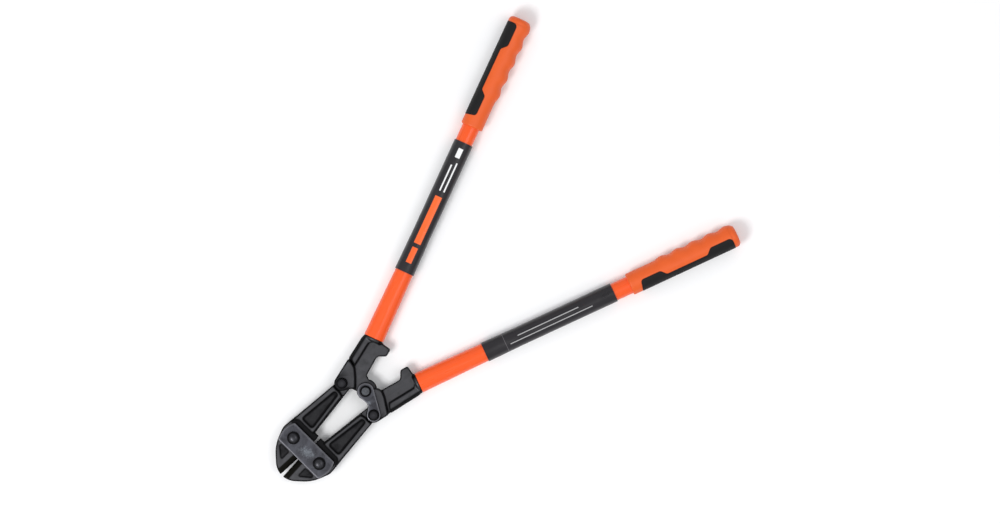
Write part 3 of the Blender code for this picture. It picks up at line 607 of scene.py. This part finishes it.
def build_jaw(hand, finishes):
    """One forged jaw, its cutting faces ground crisp after forging."""
    strap_low, strap_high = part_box("strap_front")
    strap_edge, strap_rear = strap_low.x / MM, strap_high.x / MM
    jaw_low, jaw_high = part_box(f"jaw_{hand}")
    middle = (jaw_low.z + jaw_high.z) / 2 / MM

    def softness(points):
        """How much the edges are rounded: hardly at all beside the cutting edge, ahead of the strap."""
        ahead = np.clip((strap_edge + 2.0 - points[:, 0]) / 2.0, 0.0, 1.0)
        ground = np.clip(GROUND_WIDTH + 1.0 - np.abs(points[:, 1]), 0.0, 1.0)
        return 1.0 - GROUND_KEPT * ahead * ground

    def painted_shade(points):
        """Painted shade: deep in the low strip behind the strap, lighter on the floors of the pockets."""
        height = np.abs(points[:, 2] - middle)
        along = points[:, 0]
        strip = (along > strap_rear - 1.5) & (along < strap_rear + RECESS + 2.5) & (height < HEAD_HALF + 0.4)
        tip = (along < strap_edge - 0.5) & (height < HEAD_HALF - 0.6)
        floor = (along > strap_rear + RECESS) & (height < ARM_FLOOR + 0.3) & (height > HEAD_HALF - 1.0)
        return np.maximum(strip * STRIP_SHADE, (tip | floor) * FLOOR_SHADE)

    piece = even_skin(f"jaw_{hand}", f"{hand}_jaw_forging", FORGING_GRID, EDGE_ROUND,
                      FORGING_TRIANGLES, softness, painted_shade)
    mesh = piece.data
    count = len(mesh.polygons)
    normals, centres = np.empty(count * 3), np.empty(count * 3)
    mesh.polygons.foreach_get("normal", normals)
    mesh.polygons.foreach_get("center", centres)
    normals, centres = normals.reshape(-1, 3), centres.reshape(-1, 3) / MM
    side = 1 if hand == "left" else -1
    ground = ((centres[:, 0] < strap_edge + 4.0) & (np.abs(centres[:, 1]) < GROUND_WIDTH + 2.2)
              & (normals[:, 1] * side < -0.28) & (np.abs(normals[:, 0]) < 0.4))
    finish_piece(piece, *finishes)
    mesh.polygons.foreach_set("material_index", ground.astype(np.int32))
    shade(piece, 50.0)
    return stand_in(piece, f"jaw_{hand}")


def build_lever(hand, finish):
    """One forged lever, with its hook, the painted shadow line round its spot face, and its collar."""
    lie = LIES[hand]
    back = np.array(lie.matrix.inverted())[:3, :3]

    def hook(points):
        """The hook: inwards of the handle's web, ahead of the tube."""
        place = points @ back.T
        return ((place[:, 1] < lie.offset - HOOK_INWARD) & (place[:, 0] > HOOK_START)).astype(float)

    bolt_low, bolt_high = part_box(f"tail_bolt_{hand}")
    bolt = np.array((bolt_low + bolt_high)[:2]) / 2 / MM

    def spot_face_shadow_line(points):
        """A painted shadow line round the spot face under the tail bolt's washer."""
        away = np.hypot(*(points[:, :2] - bolt).T)
        return ((away > SPOT_FACE) & (away < SPOT_FACE + SPOT_BORDER)).astype(float)

    def collar(points):
        """Less of the scale and painted shade is left on the crown of the collar, next to the tube."""
        place = points @ back.T
        crown = (place[:, 0] > COLLAR_START) & (np.abs(place[:, 1] - lie.offset) < COLLAR_CROWN)
        upper = np.abs(points[:, 2] - lie.height) > COLLAR_CROWN / 2
        return np.where(crown & upper, COLLAR_SHADE_LEFT, 1.0)

    piece = even_skin(f"lever_{hand}", f"{hand}_lever_forging", FORGING_GRID, EDGE_ROUND,
                      FORGING_TRIANGLES, planned=hook, painted_shade=spot_face_shadow_line, lighter_zone=collar)
    return stand_in(shade(finish_piece(piece, finish), 60.0), f"lever_{hand}")


def build_plate(node, name, finish):
    """A flat strap or link plate, its blanked edges just broken."""
    piece = even_skin(node, name, PLATE_GRID, PLATE_ROUND, PLATE_TRIANGLES)
    return stand_in(shade(finish_piece(piece, finish), 60.0), node)


# ---- fasteners ---------------------------------------------------------------------------------

FLANGE = 1.5           # thickness of a jaw bolt's flange
BOLT_CHAMFER = 0.6     # at the end of a shank, and round a low head
DOME_FULL = 0.8        # below 1, a dome is fuller than half an ellipse


def upright_rings(node):
    """A CAD lathe shape that stands upright: its centre, and (height, radius) rings, rising."""
    points = points_of(frame["nodes"][node].data) / MM
    low, high = points.min(axis=0), points.max(axis=0)
    centre = (low + high)[:2] / 2
    radius = np.hypot(*(points[:, :2] - centre).T)
    rings = {(round(float(z), 2), round(float(r), 1)): float(r) for z, r in zip(points[:, 2], radius)}
    ordered = sorted(rings)
    return centre, [(z, rings[z, r]) for z, r in ordered]


def upright_at(centre):
    """The frame of an upright turned piece at a place in plan."""
    return Matrix.Translation((centre[0] * MM, centre[1] * MM, 0.0))


def build_bolt(node, name, finish, flange=0.0):
    """A bolt: chamfered shank end, then a low head, or a flange with a dome standing on it. What
    lies outside the dome, or on the head's rim, is painted darker as shade."""
    centre, rings = upright_rings(node)
    low, top = rings[0][0], rings[-1][0]
    shank, head = rings[1][1], max(r for z, r in rings)
    seat = min(z for z, r in rings if r > shank + 0.2)
    lighter_zone = head - BOLT_CHAMFER
    profile = [(low, 0.0), (low, shank - BOLT_CHAMFER), (low + BOLT_CHAMFER, shank), (seat, shank),
               (seat, head, 0.2)]
    if flange:
        dome = max(r for z, r in rings if z > seat + flange)
        profile += [(seat + flange, head, 0.5), (seat + flange, dome + 0.5, 0.3)]
        profile += [(seat + flange + (top - seat - flange) * math.sin(a), dome * math.cos(a) ** DOME_FULL)
                    for a in [k * math.pi / 36 for k in range(18)]]
        lighter_zone = dome
    else:
        profile += [(top - 0.5, head, 0.3), (top, lighter_zone, 0.4)]
    profile.append((top, 0.0))
    piece = lathe(name, rounded(profile, 5, closed=False), upright_at(centre))
    points = points_of(piece.data) / MM
    radius = np.hypot(*(points[:, :2] - centre).T)
    # Painted shade on the flange outside the dome, and on a low head's rim.
    rim_shade = np.clip((radius - lighter_zone + 0.6) / 0.7, 0.0, 1.0) * (points[:, 2] > seat)
    write_attribute(piece.data, "scale_and_shading", rim_shade)
    return stand_in(shade(finish_piece(piece, finish)), node)


def build_washer(node, name, finish):
    """A flat washer with its edges broken."""
    centre, rings = upright_rings(node)
    low, high = rings[0][0], rings[-1][0]
    inner, outer = min(r for z, r in rings), max(r for z, r in rings)
    profile = rounded([(low, outer, 0.1), (high, outer, 0.35), (high, inner, 0.2), (low, inner, 0.1)], 4)
    piece = lathe(name, profile, upright_at(centre), 72)
    # Painted shade: the whole washer takes the darkest tone of the oxide, for the dark ring round the bolt
    # head.
    write_attribute(piece.data, "scale_and_shading", np.ones(len(piece.data.vertices)))
    return stand_in(shade(finish_piece(piece, finish)), node)


CHAMFER_RISE = 0.5     # height over width of a nut's corner chamfer


def hex_nut_tree():
    """Geometry nodes: a hexagon nut with a bore, chamfered on both faces, centred on the origin."""
    tree = bpy.data.node_groups.new("hex_nut", "GeometryNodeTree")
    tree.interface.new_socket("Geometry", in_out="OUTPUT", socket_type="NodeSocketGeometry")
    for name, value in (("Flats", 15.0), ("Thickness", 4.3), ("Bore", 4.8)):
        made = tree.interface.new_socket(name, in_out="INPUT", socket_type="NodeSocketFloat")
        made.default_value = value * MM
    tree.interface.new_socket("Material", in_out="INPUT", socket_type="NodeSocketMaterial")
    given = tree.nodes.new("NodeGroupInput").outputs

    def worked(operation, *values):
        return add(tree, "ShaderNodeMath", dict(enumerate(values)), operation=operation)

    corner = worked("DIVIDE", given["Flats"], math.sqrt(3))
    blank = add(tree, "GeometryNodeMeshCylinder", {"Vertices": 6, "Radius": corner,
                                                   "Depth": given["Thickness"]})
    blank = add(tree, "GeometryNodeTransform", {"Geometry": blank, "Rotation": (0.0, 0.0, math.pi / 6)})
    face = worked("MULTIPLY", given["Flats"], 0.485)
    over = worked("MULTIPLY", given["Thickness"], 0.5)
    tall = worked("MULTIPLY", given["Thickness"], 2.0)
    narrow = worked("MULTIPLY_ADD", over, -1.0 / CHAMFER_RISE, face)
    wide = worked("MULTIPLY_ADD", tall, 1.0 / CHAMFER_RISE, narrow)
    down = add(tree, "ShaderNodeCombineXYZ", {"Z": worked("MULTIPLY", given["Thickness"], -1.0)})
    cones = []
    for flip in (0.0, math.pi):
        cone = add(tree, "GeometryNodeMeshCone", {"Vertices": 72, "Radius Top": narrow,
                                                  "Radius Bottom": wide, "Depth": tall})
        cone = add(tree, "GeometryNodeTransform", {"Geometry": cone, "Translation": down})
        cones.append(add(tree, "GeometryNodeTransform", {"Geometry": cone, "Rotation": (flip, 0.0, 0.0)}))
    cut = tree.nodes.new("GeometryNodeMeshBoolean")
    cut.operation = "INTERSECT"
    for part in (blank, *cones):
        tree.links.new(part, cut.inputs["Mesh 2"])
    bore = add(tree, "GeometryNodeMeshCylinder", {"Vertices": 72, "Radius": given["Bore"],
                                                  "Depth": worked("MULTIPLY", given["Thickness"], 2.0)})
    drilled = add(tree, "GeometryNodeMeshBoolean", {"Mesh 1": cut.outputs["Mesh"], "Mesh 2": bore},
                  operation="DIFFERENCE")
    real = add(tree, "GeometryNodeRealizeInstances", {"Geometry": drilled})
    made = add(tree, "GeometryNodeSetMaterial", {"Geometry": real, "Material": given["Material"]})
    outlet = tree.nodes.new("NodeGroupOutput")
    tree.links.new(made, outlet.inputs["Geometry"])
    return tree


def build_nut(tree, node, name, finish):
    """A hexagon nut from the nut tree, on its CAD node's place and turn."""
    points = points_of(frame["nodes"][node].data)
    low, high = points.min(axis=0), points.max(axis=0)
    middle = (low + high) / 2
    radius = np.hypot(*(points - middle)[:, :2].T)
    corner = (points - middle)[radius.argmax()]
    piece = new_object(name, bpy.data.meshes.new(name))
    step = piece.modifiers.new("nut", "NODES")
    step.node_group = tree
    sizes = {"Flats": radius.max() * math.sqrt(3), "Thickness": high[2] - low[2], "Bore": radius.min(),
             "Material": finish}
    for item in tree.interface.items_tree:
        if item.in_out == "INPUT" and item.name in sizes:
            value = sizes[item.name]
            step[item.identifier] = value if item.name == "Material" else float(value)
    applied(piece)
    turn = math.atan2(corner[1], corner[0]) - math.pi / 6
    piece.data.transform(Matrix.Translation(Vector(middle)) @ Matrix.Rotation(turn, 4, "Z"))
    return stand_in(shade(piece), node)


# ---- tubes, sleeves and grips ------------------------------------------------------------------

def ring_profile(rings, ends):
    """The closed profile of a tube whose four end edges are rounded."""
    outside = [(a, r) for a, r, inner in rings]
    inside = [(a, r) for a, outer, r in reversed(rings)]
    for loop in (outside, inside):
        for index in (0, -1):
            loop[index] = (*loop[index], ends)
    return rounded(outside + inside, 5)


def build_tube(hand, finish):
    """One painted handle tube."""
    lie = LIES[hand]
    piece = lathe(f"{hand}_handle_tube", ring_profile(lie.rings(f"handle_tube_{hand}"), 0.6), lie.axis(), 128)
    return stand_in(shade(finish_piece(piece, finish)), f"handle_tube_{hand}")


def build_sleeve(hand, finish):
    """The printed sleeve, with its surface unrolled in millimetres for the print."""
    lie = LIES[hand]
    piece = lathe(f"{hand}_printed_sleeve", ring_profile(lie.rings(f"handle_sleeve_{hand}"), 0.3),
                  lie.axis(), 128)
    mesh = piece.data
    back = np.array(lie.matrix.inverted())
    points = (points_of(mesh) @ back[:3, :3].T + back[:3, 3]) / MM
    angle = np.arctan2(points[:, 1] - lie.offset, points[:, 2])
    radius = np.hypot(points[:, 1] - lie.offset, points[:, 2])
    corners = np.empty(len(mesh.loops), dtype=np.int32)
    mesh.loops.foreach_get("vertex_index", corners)
    unrolled = np.stack([points[:, 0], angle * radius], axis=1)[corners]
    mesh.uv_layers.new(name="along_and_round").data.foreach_set("uv", unrolled.astype(np.float32).ravel())
    return stand_in(shade(finish_piece(piece, finish)), f"handle_sleeve_{hand}")


class GripForm:
    """The outer form of one grip, and the border of its soft insert, in the handle's frame."""

    def __init__(self, hand):
        self.lie = LIES[hand]
        points = self.lie.points(f"grip_{hand}")
        self.start, self.end = points[:, 0].min(), points[:, 0].max() - END_EASE
        self.outer = points[:, 1].max() - self.lie.offset
        self.inner = self.lie.offset - points[:, 1].min() - GRIP_WAVE
        self.half = (points[:, 2].max() - points[:, 2].min()) / 2
        self.bore = np.hypot(points[:, 1] - self.lie.offset, points[:, 2]).min()
        front, end = self.start + INSERT_FRONT, self.end - INSERT_REAR
        low, strip, top = 0.2, STRIP_REACH, self.outer + 6.0
        self.border = np.array(rounded([
            (front - 1.5, top), (front + 2.5, low, 4.0), (front + LOBE_FRONT, low, 5.0),
            (front + LOBE_FRONT + 6.0, strip, 4.0), (end - LOBE_REAR - 6.5, strip, 4.0),
            (end - LOBE_REAR, low, 5.0), (end - 0.5, low, 5.0), (end, top)], 10))

    def reach(self, along):
        """Inner reach, outer reach and half height at distances along the handle."""
        into, left = along - self.start, self.end - along
        lead = np.clip(into / GRIP_LEAD, 0.0, 1.0)
        phase = (left - 0.5 * WAVE_PITCH) / WAVE_PITCH
        wave = np.where(phase < WAVES - 0.5, np.cos(2 * np.pi * phase), -1.0) * GRIP_WAVE
        inner = self.inner - LEAD_WAIST * (1.0 - lead) + wave * lead
        height = self.half - LEAD_THIN * (1.0 - lead)
        nose = np.clip(into / GRIP_NOSE, 0.0, 1.0)
        butt = np.clip(left / GRIP_BUTT, 0.0, 1.0)
        ends = (GRIP_NOSE * (1.0 - np.sqrt(nose * (2.0 - nose)))
                + GRIP_BUTT * (1.0 - np.sqrt(butt * (2.0 - butt))))
        return inner - ends, np.full_like(along, self.outer) - ends, height - ends

    def surface(self, along, turn, depth):
        """Points at distances along and turns round the grip, a depth below its form."""
        inner, outer, height = self.reach(along)
        y, z = np.cos(turn), np.sin(turn)
        side = np.where(y > 0, outer[:, None], inner[:, None]) - depth
        return np.stack([np.broadcast_to(along[:, None], turn.shape), self.lie.offset + side * y,
                         (height[:, None] - depth) * z], axis=2)

    def inside(self, along, turn):
        """How far inside the insert's border a point lies, in plan; negative outside it."""
        inner, outer, height = self.reach(along)
        across = np.where(np.cos(turn) > 0, outer[:, None], inner[:, None]) * np.cos(turn)
        here = np.stack([np.broadcast_to(along[:, None], turn.shape), across], axis=2)[:, :, None, :]
        first, last = self.border[:-1], self.border[1:]
        step = last - first
        share = ((here - first) * step).sum(axis=3) / (step ** 2).sum(axis=1)
        nearest = first + np.clip(share, 0.0, 1.0)[..., None] * step
        away = np.sqrt(((here - nearest) ** 2).sum(axis=3)).min(axis=2)
        limit = np.interp(along, self.border[:, 0], self.border[:, 1], left=1e3, right=1e3)
        return np.where(across > limit[:, None], away, -away)

    def border_turn(self, along, margin=0.0):
        """The turn at which the insert's border crosses each section."""
        limit = np.interp(along, self.border[:, 0], self.border[:, 1], left=1e3, right=1e3) + margin
        return np.arccos(np.clip(limit / self.reach(along)[1], -1.0, 0.99985))


def build_grip(hand, finish):
    """The hard grip: finger waves on its inner side, a pocket for the insert, a blind bore."""
    form = GripForm(hand)
    fine = np.arange(0.0, 1.0001, 0.1)
    along = np.unique(np.round(np.concatenate([
        form.start + GRIP_NOSE * (1 - np.cos(fine * np.pi / 2)),
        np.arange(form.start + 2.0, form.end - GRIP_BUTT, 1.0),
        form.border[0, 0] + np.arange(-0.6, 8.0, 0.25), form.border[-1, 0] - np.arange(-0.6, 8.0, 0.25),
        form.end - GRIP_BUTT * (1 - np.sin(fine * np.pi / 2))]), 3))
    edge = form.border_turn(along)[:, None]
    pocket = np.concatenate([np.linspace(0.0, 0.86, 12), [0.92, 0.96, 0.985, 1.0]])
    rest = np.linspace(0.0, 1.0, 61)[1:]
    rest = 0.5 - 0.5 * np.cos(np.pi * rest) * (0.35 + 0.65 * np.abs(np.cos(np.pi * rest)))
    half_turn = np.concatenate([edge * pocket, edge + (np.pi - edge) * rest], axis=1)
    turn = np.concatenate([half_turn, 2 * np.pi - half_turn[:, -2:0:-1]], axis=1)
    into = form.inside(along, turn)
    well = np.clip(into / 0.22, 0.0, 1.0)
    lip = np.clip(1.0 + into / 0.45, 0.0, 1.0) ** 2 * LIP
    points = form.surface(along, turn, SKIN + np.where(into > 0, LIP + (INSERT_DEPTH - LIP) * well, lip))
    rows, columns = turn.shape
    points = points.reshape(-1, 3)
    soil = np.clip(1.0 - np.abs(into) / 0.5, 0.0, 1.0).ravel() * 0.8
    faces = []
    for row in range(rows - 1):
        faces += band(row * columns, (row + 1) * columns, columns)
    offset, floor = form.lie.offset, form.end - GRIP_FLOOR
    mouth = ((form.start + 0.01, form.bore + 0.5), (form.start + 0.5, form.bore), (floor, form.bore))
    bore = [np.stack([np.full(columns, place), offset + radius * np.cos(turn[0]),
                      radius * np.sin(turn[0])], axis=1) for place, radius in mouth]
    first = len(points)
    points = np.concatenate([points, *bore, [[floor, offset, 0.0]], [[form.end, offset, 0.0]]])
    chain = [0, first, first + columns, first + 2 * columns]
    for near, far in zip(chain, chain[1:]):
        faces += band(far, near, columns)
    faces += [[chain[-1] + (k + 1) % columns, chain[-1] + k, len(points) - 2] for k in range(columns)]
    last = (rows - 1) * columns
    faces += [[last + k, last + (k + 1) % columns, len(points) - 1] for k in range(columns)]
    piece = mesh_piece(f"{hand}_moulded_grip", points, faces, form.lie.matrix)
    soil = np.concatenate([soil, np.zeros(len(points) - len(soil))])
    write_attribute(piece.data, "soil", soil)
    return stand_in(shade(finish_piece(piece, finish), 40.0), f"grip_{hand}")


def build_insert(hand, finish):
    """The soft insert: a crowned skin with a rounded border, let into the grip's pocket."""
    form = GripForm(hand)
    first, last = form.border[0, 0], form.border[-1, 0]
    ends = np.concatenate([np.arange(INSERT_GAP + 0.05, 1.0, 0.12), np.arange(1.0, 8.0, 0.3)])
    along = np.unique(np.round(np.concatenate([first + ends, np.arange(first + 8.0, last - 8.0, 1.0),
                                               last - ends]), 3))
    edge = form.border_turn(along, INSERT_GAP)[:, None]
    share = np.sin(np.linspace(-1.0, 1.0, 61) * np.pi / 2)
    turn = edge * share
    into = np.maximum(form.inside(along, turn) - INSERT_GAP, 0.0)
    turned = np.clip(into / INSERT_EDGE, 0.0, 1.0)
    crown = INSERT_EDGE * (1.0 - np.sqrt(turned * (2.0 - turned)))
    top = form.surface(along, turn, crown * 0.8)
    low = form.surface(along, turn, np.full(turn.shape, SKIN + INSERT_DEPTH - 0.2))
    rows, columns = turn.shape
    points = np.concatenate([top.reshape(-1, 3), low.reshape(-1, 3)])
    faces = []
    for r in range(rows - 1):
        for c in range(columns - 1):
            a, b = r * columns + c, (r + 1) * columns + c
            faces.append([a, a + 1, b + 1, b])
            a, b = a + rows * columns, b + rows * columns
            faces.append([b, b + 1, a + 1, a])
    rim = (list(range(columns)) + [r * columns + columns - 1 for r in range(1, rows)]
           + [(rows - 1) * columns + c for c in range(columns - 2, -1, -1)]
           + [r * columns for r in range(rows - 2, 0, -1)])
    shift = rows * columns
    faces += [[a, b, b + shift, a + shift][::-1] for a, b in zip(rim, rim[1:] + rim[:1])]
    piece = mesh_piece(f"{hand}_soft_insert", points, faces, form.lie.matrix)
    return stand_in(shade(finish_piece(piece, finish), 50.0), f"grip_insert_{hand}")


# ---- studio ------------------------------------------------------------------------------------

VIEW_CENTRE = (223.3, -4.3)    # the tool point under the middle of the view
VIEW_WIDTH = 1200.0
VIEW_TURN = -45.1              # from the tool's length to the view's rightward direction, degrees
VIEW_HEIGHT_M = 6.0
SENSOR = 36.0
LIGHTS_AIM_M = (0.1, 0.0, 0.0)
FLOOR_HALF = 20000.0
FLOOR_DROP = 0.2               # the floor lies this far under the tool, clear of its lowest faces


def floor_plane():
    """A wide floor just under the tool."""
    points = [(x * FLOOR_HALF, y * FLOOR_HALF, -FLOOR_DROP) for x, y in ((-1, -1), (1, -1), (1, 1), (-1, 1))]
    floor = mesh_piece("studio_floor", points, [[0, 1, 2, 3]])
    finish_piece(floor, pale_floor())


def softbox(name, place, size, power):
    """A square area light at a place in metres, aimed at the tool and not seen itself."""
    lamp = bpy.data.lights.new(name, "AREA")
    lamp.shape = "SQUARE"
    lamp.size = size
    lamp.energy = power
    made = new_object(name, lamp)
    made.location = place
    made.rotation_euler = (Vector(LIGHTS_AIM_M) - Vector(place)).to_track_quat("-Z", "Y").to_euler()
    made.visible_camera = False


def studio():
    """A wide dome of light, dimmer straight above and at the floor, a soft key light from beyond
    the jaws, and a weaker fill from over the right handle."""
    world = bpy.data.worlds.new("studio")
    bpy.context.scene.world = world
    world.use_nodes = True
    tree = world.node_tree
    way = add(tree, "ShaderNodeNewGeometry", out="Incoming")
    height = add(tree, "ShaderNodeSeparateXYZ", {0: way}, out="Z")
    height = add(tree, "ShaderNodeMath", {0: height}, operation="ABSOLUTE")
    ramp = tree.nodes.new("ShaderNodeFloatCurve")
    curve = ramp.mapping.curves[0]
    curve.points[0].location = (0.0, 0.22)
    curve.points[1].location = (1.0, 0.32)
    for place in ((0.45, 0.74), (0.8, 0.72)):
        curve.points.new(*place)
    ramp.mapping.update()
    tree.links.new(height, ramp.inputs["Value"])
    background = tree.nodes["Background"]
    background.inputs["Color"].default_value = linear("#fbfcff")
    tree.links.new(ramp.outputs["Value"], background.inputs["Strength"])
    softbox("key_softbox", (-1.15, 0.1, 2.1), 0.8, 30.0)
    softbox("fill_softbox", (0.9, -0.7, 2.3), 1.2, 10.0)
    bpy.context.scene.view_settings.view_transform = "Standard"


def view_camera():
    """A long lens straight above the tool, turned so that the handles fan up to the right."""
    lens = bpy.data.cameras.new("camera")
    lens.sensor_width = SENSOR
    lens.lens = SENSOR * VIEW_HEIGHT_M / (VIEW_WIDTH * MM)
    lens.clip_end = 100.0
    made = new_object("camera", lens)
    made.location = (VIEW_CENTRE[0] * MM, VIEW_CENTRE[1] * MM, VIEW_HEIGHT_M)
    made.rotation_euler = (0.0, 0.0, math.radians(VIEW_TURN))
    bpy.context.scene.camera = made


# ---- the tool ----------------------------------------------------------------------------------

# plain bars in place of print: from and to along the handle, low and high across it, colour
SLEEVE_BARS = {
    "left": [(161.0, 181.0, -3.6, 3.6, "#ee6226"), (186.0, 248.0, -4.4, 4.4, "#f2672a"),
             (255.0, 293.0, -4.2, -2.4, "#e9e9e9"), (255.0, 289.0, 1.2, 3.0, "#e9e9e9"),
             (299.0, 311.0, -3.4, 2.6, "#e9e9e9")],
    "right": [(193.0, 273.0, -2.4, -1.3, "#a9a9a9"), (181.0, 289.0, 3.4, 4.5, "#a9a9a9"),
              (175.6, 176.2, -30.0, 30.0, "#5d5a5d")],
}


def build_tool():
    """Every piece, in its finish."""
    forged, ground, oxide = forged_steel(), ground_steel(), black_oxide()
    grip_finish, insert_finish = moulded_grip(), soft_insert()
    strap_low, strap_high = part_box("strap_front")
    middle = tuple((strap_low + strap_high) / 2 / MM)
    strap_finish = blued_plate("blued_strap_plate", (middle[0] - 1.0, middle[1] - 1.5, middle[2]), 7.5)
    link_low, link_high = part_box("link_plate_front")
    link_middle = tuple((link_low + link_high) / 2 / MM)
    link_finish = blued_plate("blued_link_plate", (link_middle[0] - 1.0, link_middle[1], link_middle[2]), 2.2)
    nuts = hex_nut_tree()
    for level in ("front", "rear"):
        build_plate(f"strap_{level}", f"{level}_strap", strap_finish)
        build_plate(f"link_plate_{level}", f"{level}_link_plate", link_finish)
    build_bolt("pivot_bolt", "centre_pivot_bolt", turned_steel((0.0, 0.0, 0.0)))
    build_washer("pivot_washer", "centre_pivot_washer", oxide)
    build_nut(nuts, "pivot_nut", "centre_pivot_nut", oxide)
    for hand in HANDS:
        build_jaw(hand, (forged, ground))
        build_lever(hand, forged)
        build_bolt(f"jaw_bolt_{hand}", f"{hand}_jaw_bolt", oxide, FLANGE)
        build_nut(nuts, f"jaw_nut_{hand}", f"{hand}_jaw_nut", oxide)
        build_bolt(f"tail_bolt_{hand}", f"{hand}_tail_bolt", oxide)
        build_washer(f"tail_washer_{hand}", f"{hand}_tail_washer", oxide)
        build_nut(nuts, f"tail_nut_{hand}", f"{hand}_tail_nut", oxide)
        build_tube(hand, powder_coat(LIES[hand]))
        build_sleeve(hand, shrink_sleeve(LIES[hand], SLEEVE_BARS[hand]))
        build_grip(hand, grip_finish)
        build_insert(hand, insert_finish)


floor_plane()
studio()
view_camera()
build_tool()
